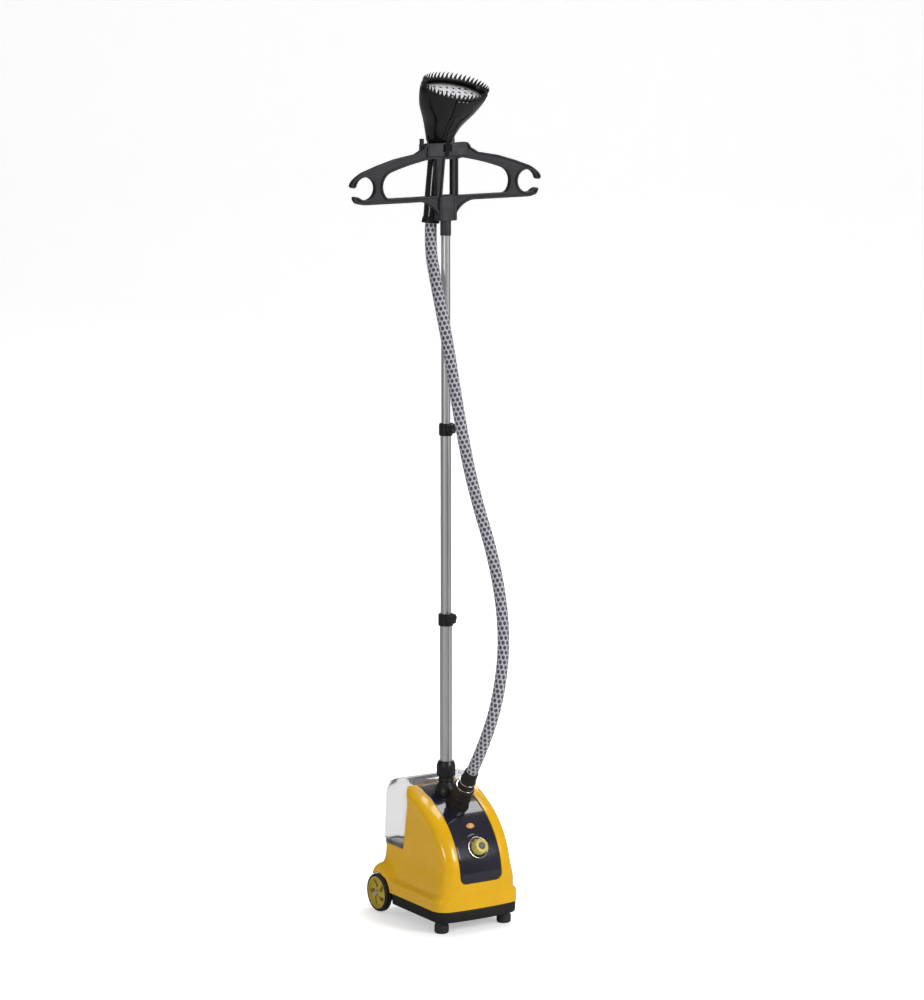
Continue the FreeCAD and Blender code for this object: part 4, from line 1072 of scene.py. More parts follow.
    def build_chassis(self) -> bpy.types.Object:
        """Black tray with a rounded lower edge and a flat underside."""
        soup = Soup()
        top, low, nose, round_ = self.seam, self.under, self.nose_y(self.seam), self.nose_corner
        skirt, wall, tail = self.skirt_half, self.wheel_wall, self.tail_rear
        plan = [(x, nose - self.bow(x, top)) for x in spaced(0.0, self.nose_half, 8)]
        plan += [(self.nose_half + round_ * math.sin(a), nose + round_ * (1 - math.cos(a)))
                 for a in map(math.radians, range(9, 91, 9))]
        plan += [(skirt, y) for y in (-60, -20, 20, 44)]
        plan += [(skirt - 1.5, 46.2), (skirt - 4, 47), (wall, 47), (wall, 60), (wall, tail - 6),
                 (wall - 2, tail - 2), (wall - 6, tail), (0, tail)]
        rows = []
        for z, inset in ((top + 0.3, 3.0), (top - 0.4, 1.0), (top - 1.2, 0.3), (top - 3, 0), (low + 3, 0.4),
                         (low + 1.2, 1.2), (low + 0.2, 3.0), (low, 5.0)):
            scale = 1 - inset / 90
            rows.append([(x * scale, y * (1 - inset / 115), z) for x, y in plan])
        rows.append([(x * 0.5, y * 0.5, low) for x, y in plan])
        rows.append([(0.0, 0.0, low) for _ in plan])
        soup.grid(rows)
        soup.mirror()
        return self.finish(soup.build("chassis_tray", 45), "black_chassis", "base", "chassis")

    def build_guards(self) -> None:
        """The domed ends of the wheel arches, behind the body."""
        for side, sign in (("left", -1), ("right", 1)):
            soup = Soup()
            low, base, lip = self.guard_radius, self.wheel_wall - 4, self.arch_half + 0.4
            rows = []
            for step in range(19):
                turn = 58 + 64 * step / 18
                rise = 2.0 + 16.4 * math.sqrt(max(0.0, 1 - ((turn - 89) / 34) ** 2))
                across = [(base, low), (lip - 0.6, low), (lip, low + 0.5)]
                for part in range(1, 13):
                    t = part / 12
                    across.append((base + (lip - base) * (1 - t ** 3.2) ** 0.55, low + 0.5 + rise * t))
                across.append((base - 6, low + 0.5 + rise))
                cos, sin = math.cos(math.radians(turn)), math.sin(math.radians(turn))
                rows.append([(sign * x, self.axle_y - r * cos, self.axle_z + r * sin) for x, r in across])
            soup.block(rows)
            self.finish(soup.build(f"wheel_guard_{side}", 45), "yellow_gloss", "base")

    def build_feet(self) -> None:
        """Two ribbed rubber feet."""
        low, high = span("front_feet")
        middle_y = (low.y + high.y) / 2
        radius = (high.y - low.y) / 2
        profile = softened([(0, 0), (radius - 2.2, 0), (radius, 2.5), (radius, 14), (radius - 1, 15),
                            (radius - 1, high.z - 0.1), (0, high.z - 0.1)], 0.8)
        soup = Soup()
        for x in (low.x + radius, high.x - radius):
            soup.join(lathe(profile, 48, flutes(20, 0.35, 3, 13)).place(
                Matrix.Translation((x, middle_y, 0))))
        self.finish(soup.build("rubber_feet"), "rubber", "base", "front_feet")

    def build(self) -> None:
        """Builds the base."""
        self.read_frame()
        self.build_shell()
        self.build_tail()
        self.build_panel()
        self.build_chassis()
        self.build_guards()
        self.build_feet()


@dataclass
class Controls(Assembly):
    """Knob, scale ring and lamp on the panel."""

    tick_count: int = 24
    tick_sweep: float = 270.0
    lamp_turn: float = 43.0
    lens_squeeze: float = 0.62
    bezel_squeeze: float = 0.66

    def build(self) -> None:
        """Builds the knob, the ring with its scale, and the lamp."""
        at, axis = self.joint("knob_turn")
        place = stand(at, -axis if axis.y > 0 else axis)
        self.turned("scale_rim", place, [(17.6, 1.2), (18.0, 3.2), (18.9, 4.1), (19.9, 3.9), (20.4, 2.6),
                                         (20.4, -1.5)], 0.5, 96, "chrome", "base", "knob_ring")
        dial = lathe([(3.4, 0.9), (16.8, 0.9), (17.8, 1.5)], 96).place(place)
        self.finish(dial.build("scale_dial"), "panel_gloss", "base")
        ticks = Soup()
        outer, lift = 16.6, Vector((0, 0, 1.15))
        for index in range(self.tick_count + 1):
            turn = math.radians(self.tick_sweep * (index / self.tick_count - 0.5))
            wide, inner = (0.45, 13.4) if index % 4 == 0 else (0.25, 14.6)
            way = Vector((math.sin(turn), math.cos(turn), 0))
            side = Vector((way.y, -way.x, 0))
            ticks.fan([way * reach + side * wide * sign + lift
                       for reach, sign in ((inner, -1), (inner, 1), (outer, 1), (outer, -1))])
        self.finish(ticks.place(place).build("scale_ticks"), "white_plastic", "base")
        self.turned("knob_cap", place, [(3.05, 1.4), (12.6, 1.4), (13.2, 2.4), (12.6, 16.6), (11.4, 18.2),
                                        (8.4, 18.6), (7.8, 17.8), (5.9, 17.4), (0.0, 17.4)], 0.6, 144,
                    "knob_yellow", "control_knob", "control_knob",
                    swell=lambda turn, radius, height: (1.5 * abs(math.sin(turn * 6)) ** 0.7 - 0.7
                                                        if radius > 8.6 else 0.0))
        self.turned("knob_disc", place, [(6.6, 17.5), (6.4, 18.4), (5.4, 18.7), (4.6, 18.3), (3.2, 18.3),
                                         (2.6, 18.6), (0.0, 18.6)], 0.4, 64, "grey_plastic", "control_knob")
        mark = Soup()
        mark.grid([[(-0.5, 8.8, 18.95), (0.5, 8.8, 18.95)], [(-0.5, 11.6, 18.4), (0.5, 11.6, 18.4)]])
        self.finish(mark.place(place).build("knob_mark"), "black_plastic", "control_knob")
        self.build_lamp()

    def build_lamp(self) -> None:
        """Builds the oval amber lamp and its bezel, where the panel's front arc has turned far enough."""
        outline = SideOutline()
        reach = outline.arc_y - outline.arc_radius * math.cos(math.radians(self.lamp_turn))
        spot = next(z for z in [150 + 0.1 * i for i in range(600)] if outline.front(z) > reach)
        place = stand((0.0, outline.front(spot), spot), outline.normal(spot))
        lens = lathe([(8.6, -0.4), (8.4, 0.5), (7.4, 1.8), (5.4, 3.0), (2.8, 3.7), (0.0, 3.9)], 64)
        lens.place(Matrix.Diagonal((1.0, self.lens_squeeze, 1.0, 1.0))).place(place)
        self.finish(lens.build("lamp_cap"), "lamp_amber", "base", "lamp_lens")
        bezel = lathe(softened([(9.8, -1.0), (9.8, 0.2), (9.0, 0.7), (8.4, 0.2)], 0.3), 64)
        bezel.place(Matrix.Diagonal((1.0, self.bezel_squeeze, 1.0, 1.0))).place(place)
        self.finish(bezel.build("lamp_bezel"), "black_plastic", "base")


@dataclass
class Tank(Assembly):
    """Clear hollow water tank with a bowed crown, and the dark visor inside it."""

    wall: float = 2.2
    crown: float = 36.0
    brim: float = 8.0
    foot: float = 4.0
    flare: float = 8.5
    flare_loss: float = 4.0
    step: float = 3.0
    ledge: float = field(default=0.0, init=False)

    def section(self, inset: float, z: float, low: Vector, high: Vector) -> list[Point]:
        """A closed plan of the tank at a height, inset from its outside."""
        top = high.z - inset
        lean = 0.0
        if z > top - self.crown:
            lean = dip(self.crown, z - top + self.crown)
        edge = 0.0
        if z > top - self.brim:
            edge = dip(self.brim, z - top + self.brim)
        if z < low.z + inset + self.foot:
            edge = dip(self.foot, low.z + inset + self.foot - z)
        rise = (z - low.z) / (high.z - low.z)
        flare = ease(z, self.ledge, self.ledge + self.step) * (self.flare - self.flare_loss * rise)
        half = high.x + flare - inset - edge
        front, rear = low.y + inset + edge * 0.4, high.y + flare * 0.4 - inset - max(lean, edge)
        corner, small = min(10.0 - inset * 0.5, (rear - front) / 2.2), 3.0
        points = [(half - small + small * math.sin(a), front + small * (1 - math.cos(a)))
                  for a in map(math.radians, range(0, 91, 30))]
        points += [(half, front + small + (rear - corner - front - small) * i / 6) for i in range(1, 6)]
        points += arc(half - corner, rear - corner, corner, 0, 90, 8)
        points += [(x, rear) for x in (half * 0.5, 0.0)]
        left = [(-x, y) for x, y in reversed(points[:-1])]
        return [(x, y, z) for x, y in points + left]

    def build(self) -> None:
        """Builds the tank's outer and inner walls and its visor."""
        low, high = span("water_tank")
        self.ledge = span("tank_seat")[1].z + 0.8
        soup = Soup()
        for inset in (0.0, self.wall):
            bottom, top = low.z + inset, high.z - inset
            heights = [bottom + t for t in (0, 0.6, 1.6, 3, 4.2)]
            heights += [self.ledge + step for step in (0.0, 1.0, 2.0, 3.0)]
            heights += spaced(self.ledge + self.step, top - self.crown - 1, 16, 1)
            heights += [top - self.crown * (1 - math.sin(math.radians(a))) for a in range(5, 91, 5)]
            soup.block([self.section(inset, z, low, high) for z in heights])
        self.finish(soup.build("tank_shell", 45), "clear_tank", "water_tank", "water_tank")
        self.build_visor(low, high)

    def build_visor(self, low: Vector, high: Vector) -> None:
        """The glossy plate inside the tank that carries the hood's dark top rearwards."""
        soup = Soup()
        rows = []
        for i in range(13):
            t = i / 12
            half, y, crest = 43.0 + 6 * t, low.y + 3.0 + 23.5 * t, high.z - 8.6 + 5.0 * t
            thick = 2.0 if 0 < i < 12 else 1.2
            across = [half * (k / 10 - 1) for k in range(21)]
            top = [(x, y, crest - 0.0012 * x * x) for x in across]
            under = [(x, y, z - thick) for x, _, z in reversed(top)]
            rows.append(top + under)
        soup.block(rows)
        self.finish(soup.build("tank_visor", 35), "panel_gloss", "water_tank")


@dataclass
class Wheels(Assembly):
    """Tyres with tread grooves; the hubs keep their frame shape."""

    def build(self) -> None:
        """Builds both tyres."""
        for side in ("left", "right"):
            low, high = span(f"hub_{side}")
            middle, wide = (low + high) / 2, 7.5
            rim, tread = 29.5, 35.0
            half = [(rim, -wide + 0.6), (rim + 0.8, -wide + 0.1), (tread - 4.4, -wide),
                    (tread - 1.6, -wide + 1.0), (tread - 0.4, -wide + 2.8), (tread, -wide + 4.6),
                    (tread, -1.6), (tread - 0.9, -1.3), (tread - 0.9, 0)]
            profile = half + [(r, -h) for r, h in reversed(half[:-1])]

            def tread_cut(turn: float, radius: float, height: float) -> float:
                """Shallow cross grooves on the tread."""
                groove = max(0.0, math.cos(turn * 48)) ** 6
                return -0.6 * groove if radius > 34 and abs(height) > 1.5 else 0.0

            tyre = lathe(softened(profile, 0.5, 2), 288, tread_cut)
            tyre.place(Matrix.Translation(middle) @ Matrix.Rotation(math.radians(90), 4, "Y"))
            self.finish(tyre.build(f"tyre_tread_{side}", 50), "tyre", f"wheel_{side}", f"tyre_{side}")


# ---------------------------------------------------------------------------------------------
# Mast, outlet and hose
# ---------------------------------------------------------------------------------------------
@dataclass
class Mast(Assembly):
    """Lock collar, clamp knobs, dark lines on the tubes and the boot on the panel."""

    def build(self) -> None:
        """Builds the collar, the boot, the tubes' lines and the clamp knobs."""
        low, high = span("mast_collar")
        axis = centre("mast_lower")
        spot = Matrix.Translation((axis.x, axis.y, 0))
        self.turned("collar_grip", spot,
                    [(11.4, low.z + 0.2), (15.6, low.z + 0.2), (16.6, low.z + 1.4), (17.2, low.z + 3.2),
                     (17.2, high.z - 9.0), (16.4, high.z - 6.6), (14.4, high.z - 1.4),
                     (13.6, high.z - 0.1), (11.4, high.z - 0.1)], 0.8, 120, "black_plastic", "mast_collar",
                    "mast_collar", swell=flutes(12, 1.0, low.z + 1.4, high.z - 6))
        top = span("mast_socket")[1].z
        boot = ((21.5, 38), (21.4, 30), (20.6, 25), (18.6, 19.5), (15.6, 14), (14.0, 11.6), (13.4, 9),
                (14.4, 8.2), (14.4, 5.6), (13.2, 4.8), (13.2, 0.1), (11.35, 0.1), (11.35, 10))
        self.turned("mast_boot", spot, [(radius, top - drop) for radius, drop in boot], 0.9, 72,
                    "black_plastic", "base", "mast_socket")
        for name, body, low_z, high_z in (
                ("lower", "base", span("mast_collar")[1].z + 0.5, span("clamp_lower")[0].z - 0.5),
                ("middle", "mast_middle", span("clamp_lower")[1].z + 0.5, span("clamp_upper")[0].z - 0.5),
                ("upper", "mast_upper", span("clamp_upper")[1].z + 0.5, span("mast_sleeve")[0].z - 0.5)):
            tube_low, tube_high = span(f"mast_{name}")
            radius = (tube_high.x - tube_low.x) / 2
            soup = Soup()
            rows = []
            for z in (low_z, high_z):
                rows.append([Matrix.Rotation(math.radians(a), 3, "Z") @ Vector((0, -(radius + lift), z))
                             for a, lift in ((-13.5, 0.0), (-12, 0.12), (-9, 0.12), (-7.5, 0.0))])
            soup.grid([[Vector((p.x + axis.x, p.y + axis.y, p.z)) for p in row] for row in rows])
            self.finish(soup.build(f"tube_line_{name}"), "satin_black", body)
        for level in ("lower", "upper"):
            at, _ = self.joint(f"clamp_{level}_turn")
            knob = f"clamp_knob_{level}"
            low, high = span(knob)
            depth = high.y - low.y
            self.turned(f"clamp_grip_{level}", stand((at.x, high.y, at.z), (0, -1, 0), 90),
                        [(3.0, 0.1), (9.2, 0.1), (10.0, 1.0), (10.4, depth - 2.6), (9.4, depth - 0.8),
                         (6.0, depth - 0.1), (3.6, depth - 0.6), (0.0, depth - 0.8)], 0.6, 90,
                        "black_plastic", knob, knob,
                        swell=lambda turn, radius, height: (-1.5 * (0.5 - 0.5 * math.cos(turn * 5))
                                                            if radius > 7 else 0.0))


@dataclass
class Outlet(Assembly):
    """Hose outlet on the panel: boss, ribbed nut and cuff with its rings."""

    def build(self) -> list[bpy.types.Object]:
        """Builds the outlet.

        Returns:
            The pieces that go with the hose.
        """
        place = stand(*self.joint("hose_nut_turn"))
        self.turned("outlet_boss", place, [(23.0, -7.0), (22.0, -1.0), (20.6, 4.0), (19.4, 9.0), (18.4, 14.0),
                                           (17.6, 17.6), (12.4, 18.0), (12.0, 39.5)], 1.0, 80,
                    "black_plastic", "base", "hose_outlet")
        self.turned("nut_grip", place, [(12.2, 18.7), (18.8, 18.7), (19.6, 19.5), (19.6, 25.4), (18.9, 26.6),
                                        (18.7, 27.2), (18.7, 41.0), (18.0, 44.2), (16.6, 46.2), (14.8, 46.2),
                                        (14.8, 41.4), (12.2, 40.9)], 0.6, 144, "black_plastic", "hose_nut",
                    "hose_nut", swell=flutes(24, 0.55, 26.6, 37.6))
        profile = [(9.0, 41.5), (14.4, 41.5), (14.4, 47.6), (13.4, 48.4)]
        for height, radius in ((49.0, 15.2), (52.8, 15.0), (56.6, 14.8)):
            profile += [(radius, height), (radius, height + 2.2), (radius - 0.8, height + 2.6),
                        (radius - 0.8, height + 3.4)]
        profile += [(14.5, 60.8), (14.2, 66.0), (13.4, 68.0), (13.0, 76.0), (12.6, 84.2), (11.6, 85.2),
                    (10.4, 85.2)]
        rings = [self.turned("hose_boot", place, profile, 0.5, 72, "black_rubber", "base", "hose_cuff")]
        for index, (radius, rise) in enumerate(((16.6, 47.5), (14.9, 60.2))):
            band = [(radius - 1, rise - 1.0), (radius + 0.35, rise - 0.9), (radius + 0.35, rise + 0.9),
                    (radius - 1, rise + 1.0)]
            rings.append(self.turned(f"boot_ring_{index}", place, band, 0.3, 72, "chrome", "base"))
        return rings


@dataclass
class Hose(Assembly):
    """Braided steam hose from the cuff on the base up into the handle."""

    radius: float = 10.5
    columns: int = 40
    route: tuple[Point, ...] = (
        (0.0, -0.0902, 0.2862), (0.001, -0.133, 0.348), (0.014, -0.159, 0.440), (0.031, -0.150, 0.545),
        (0.034, -0.113, 0.665), (0.015, -0.068, 0.795), (-0.005, -0.054, 0.925), (-0.021, -0.042, 1.055),
        (-0.030, -0.021, 1.150), (-0.0172, 0.0255, 1.225), (-0.0093, 0.0255, 1.308))

    def line(self) -> list[Vector]:
        """Points of the smooth line through the route, read from its NURBS spline."""
        curve = bpy.data.curves.new("hose_route", "CURVE")
        curve.dimensions = "3D"
        spline = curve.splines.new("NURBS")
        spline.points.add(len(self.route) - 1)
        for point, place in zip(spline.points, self.route):
            point.co = (*place, 1.0)
        spline.order_u = 3
        spline.use_endpoint_u = True
        spline.resolution_u = 28
        mesh = curve_mesh(curve)
        points = [v.co.copy() for v in mesh.vertices]
        bpy.data.meshes.remove(mesh)
        return points

    def build(self, joint: str, rings: list[bpy.types.Object]) -> bpy.types.Object:
        """Args:
            joint: name of a mast joint; not used.
            rings: pieces at its lower end; not used.

        Returns:
            The hose.
        """
        path = self.line()
        lengths = [0.0]
        for a, b in zip(path, path[1:]):
            lengths.append(lengths[-1] + (b - a).length)
        side = Vector((1, 0, 0))
        verts, faces = [], []
        for index, point in enumerate(path):
            ahead = (path[min(index + 1, len(path) - 1)] - path[max(index - 1, 0)]).normalized()
            side = (side - ahead * side.dot(ahead)).normalized()
            other = ahead.cross(side)
            for step in range(self.columns):
                turn = 2 * math.pi * step / self.columns
                verts.append(point + (side * math.cos(turn) + other * math.sin(turn)) * self.radius * MM)
        count = self.columns
        for i in range(len(path) - 1):
            for j in range(count):
                k = (j + 1) % count
                faces.append((i * count + j, i * count + k, (i + 1) * count + k, (i + 1) * count + j))
        mesh = bpy.data.meshes.new("steam_hose_braid")
        mesh.from_pydata([tuple(v) for v in verts], [], faces)
        layer = mesh.uv_layers.new(name="along")
        for number, polygon in enumerate(mesh.polygons):
            i, j = divmod(number, count)
            corners = ((i, j), (i, j + 1), (i + 1, j + 1), (i + 1, j))
            for loop, (row, column) in zip(polygon.loop_indices, corners):
                layer.data[loop].uv = (column / count, lengths[row])
        hose = place_mesh("steam_hose_braid", mesh)
        self.finish(hose, "braided_hose", "base", "steam_hose")
        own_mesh(hose)
        return hose


# ---------------------------------------------------------------------------------------------
# Hanger
# ---------------------------------------------------------------------------------------------
@dataclass
class Hanger(Assembly):
    """Garment hanger: a thin web with raised rims along every edge, a socket and a top block."""

    y: float = field(default=0.0, init=False)
    half: float = 6.0
    block_foot: float = 1376.5
    block_top: float = 1399.6
    rim: float = 3.4
    web: float = 2.6
    hook_x: float = 167.0
    hook_z: float = 1326.5
    hook: float = 20.0

    def half_outline(self) -> list[tuple[float, float]]:
        """Right half of the outline, from the foot of the socket up to the top block."""
        x, z, r = self.hook_x, self.hook_z, self.hook
        turn = math.radians
        corners: list[tuple[float, ...]] = [
            (16.5, 1273), (17.5, 1274), (62, 1298, -46), (x + 2, 1298), (x + 17, 1301, 60),
            (x + 23.5, 1310, 14), (x + 20, 1313.5, 3),
            (x + r * math.cos(turn(50)), z - r * math.sin(turn(50)), 18),
            (x - r, z, -r), (x, z + r, -r), (x + r * math.cos(turn(14)), z + r * math.sin(turn(14)), -r),
            (x + 29, z + 7, 5), (x + 23, 1342, 30), (x + 5, 1354, 90), (140, 1365), (105, 1375), (64, 1382),
            (48, 1391), (40, 1400, 14)]
        return self.trace(corners)

    @staticmethod
    def trace(corners: Sequence[tuple[float, ...]]) -> list[tuple[float, float]]:
        """Points through corners; a third number makes the edge that leads there an arc."""
        points = [(corners[0][0], corners[0][1])]
        for corner in corners[1:]:
            end = (corner[0], corner[1])
            if len(corner) == 3:
                points += bulge(points[-1], end, corner[2], 12)
            else:
                start = Vector(points[-1])
                steps = max(1, int((Vector(end) - start).length / 12))
                points += [tuple(start.lerp(Vector(end), i / steps)) for i in range(1, steps + 1)]
        return points

    def windows(self) -> list[list[tuple[float, float]]]:
        """The two windows and the slot between the centre posts."""
        right = self.trace([(22, 1307.5), (118, 1307.5), (126, 1311, 12), (114, 1353, 26), (30, 1373, 500),
                            (22, 1371), (22, 1307.5)])[:-1]
        left = [(-x, z) for x, z in reversed(right)]
        slot = self.trace([(-11, 1309), (10, 1309), (10, 1371), (-5, 1371), (-11, 1309)])[:-1]
        return [right, left, slot]

    def sweep(self, soup: Soup, loop: list[tuple[float, float]], inward: float, half: float, wide: float
              ) -> None:
        """Adds a rounded bar along a closed loop.

        Args:
            soup: where it goes.
            loop: the outline it follows.
            inward: which side of the outline is material, 1 for left and -1 for right.
            half: half of its depth along Y.
            wide: its width in the plane.
        """
        section = []
        for cx, cy, first in ((wide - 0.9, half - 0.9, 0), (0.9, half - 0.9, 90), (0.9, -half + 0.9, 180),
                              (wide - 0.9, -half + 0.9, 270)):
            section += arc(cx, cy, 0.9, first, first + 90, 3)
        count = len(loop)
        rows = []
        for index in range(count):
            before, here, after = (Vector(loop[(index + k) % count]) for k in (-1, 0, 1))
            first, last = (here - before).normalized(), (after - here).normalized()
            tangent = first + last
            tangent = tangent.normalized() if tangent.length > 1e-6 else first
            normal = Vector((-tangent.y, tangent.x)) * inward
            stretch = min(1.6, 1 / max(0.4, tangent.dot(first)))
            rows.append([(here.x + normal.x * u * stretch, self.y + v, here.y + normal.y * u * stretch)
                         for u, v in section])
        rows.append(rows[0])
        soup.grid(rows, closed=True)

    def plate(self, name: str, outer: list[tuple[float, float]], holes: list[list[tuple[float, float]]],
              half: float, soft: float) -> bpy.types.Object:
        """A flat plate with holes and rounded edges, as a mesh.

        Args:
            name: piece name.
            outer: outline in (x, z).
            holes: loops cut from it.
            half: half thickness.
            soft: edge rounding.

        Returns:
            The object.
        """
        curve = bpy.data.curves.new(name, "CURVE")
        curve.dimensions, curve.fill_mode = "2D", "BOTH"
        curve.extrude, curve.bevel_depth, curve.bevel_resolution = (half - soft) * MM, soft * MM, 2
        curve.offset = -soft * MM
        for loop in (outer, *holes):
            spline = curve.splines.new("POLY")
            spline.points.add(len(loop) - 1)
            for point, (x, z) in zip(spline.points, loop):
                point.co = (x * MM, z * MM, 0, 1)
            spline.use_cyclic_u = True
        mesh = curve_mesh(curve)
        mesh.transform(Matrix.Translation((0, self.y * MM, 0)) @ Matrix.Rotation(math.radians(90), 4, "X"))
        mesh.name = name
        return place_mesh(name, mesh, 40)

    def build(self) -> None:
        """Builds the web, the rims, the block and the socket."""
        low, mast = span("hanger")[0], centre("mast_upper")
        self.y = mast.y - 2.0
        right = self.half_outline()
        outer = right + [(-x, z) for x, z in reversed(right)]
        holes = self.windows()
        plate = self.plate("hanger_web", outer, holes, self.web, 0.4)
        self.finish(plate, "satin_black", "mast_upper", "hanger")
        rims = Soup()
        self.sweep(rims, outer, 1, self.half, self.rim)
        for loop in holes:
            self.sweep(rims, loop, -1, self.half, self.rim)
        self.finish(rims.build("hanger_rims", 35), "satin_black", "mast_upper")
        block = [(42, self.block_foot), (40, self.block_top), (28, self.block_top + 0.2), (25.5, 1384)]
        block += [(-x, z) for x, z in reversed(block)]
        piece = self.plate("hanger_block", list(reversed(block)), [], self.half - 0.2, 0.8)
        self.finish(piece, "satin_black", "mast_upper")
        self.build_front()
        self.build_socket(low, mast)

    def build_front(self) -> None:
        """Builds the flat face of the top block in front of the neck, with the notch for the hook."""
        soup = Soup()
        front, foot, top = self.y - self.half, self.block_foot, self.block_top
        for first, last in ((-39.0, -9.6), (7.6, 39.0)):
            rows = []
            for z, lift in ((foot + 0.5, 0.0), (foot + 1.1, 0.5), (top - 0.8, 0.5), (top, 0.0)):
                rows.append([(first, front + 1.5, z), (first + 0.6, front - lift, z),
                             (last - 0.6, front - lift, z), (last, front + 1.5, z)])
            rows.append([(x, front + 7.0, top) for x in (first, first + 0.6, last - 0.6, last)])
            soup.grid(rows)
        self.finish(soup.build("block_face", 30), "satin_black", "mast_upper")

    def build_socket(self, low: Vector, mast: Vector) -> None:
        """Builds the socket round the mast's top and its two front ribs."""
        soup = Soup()
        depth, top, wide = 11.5, low.z + 44.0, 17.5

        def ring(half_x: float, half_y: float, corner: float, z: float) -> list[Point]:
            """A rounded rectangle round the mast."""
            points = []
            for sx, sy, first in ((1, 1, 0), (-1, 1, 90), (-1, -1, 180), (1, -1, 270)):
                points += arc(sx * (half_x - corner), sy * (half_y - corner), corner, first, first + 90, 5)
            return [(x + mast.x, y + mast.y, z) for x, y in points]

        rows = [ring(9.0, 9.0, 8.9, low.z + 0.1), ring(wide - 1.2, depth - 1.2, 2.0, low.z + 0.1),
                ring(wide, depth, 2.4, low.z + 1.2), ring(wide, depth, 2.4, top - 1.0),
                ring(wide - 1, depth - 1, 2.0, top), ring(2, 2, 1.9, top)]
        soup.grid(rows, closed=True)
        self.finish(soup.build("hanger_socket", 35), "satin_black", "mast_upper")
        ribs = Soup()
        front = mast.y - depth
        for x in (-12.6, 12.6):
            ribs.grid([[(x + way, front + deep, z) for way, deep in ((-2.2, 3), (-1.7, -0.9), (1.7, -0.9),
                                                                     (2.2, 3))]
                       for z in (low.z + 1.5, top - 1.2)])
        self.finish(ribs.build("socket_ribs", 30), "satin_black", "mast_upper")


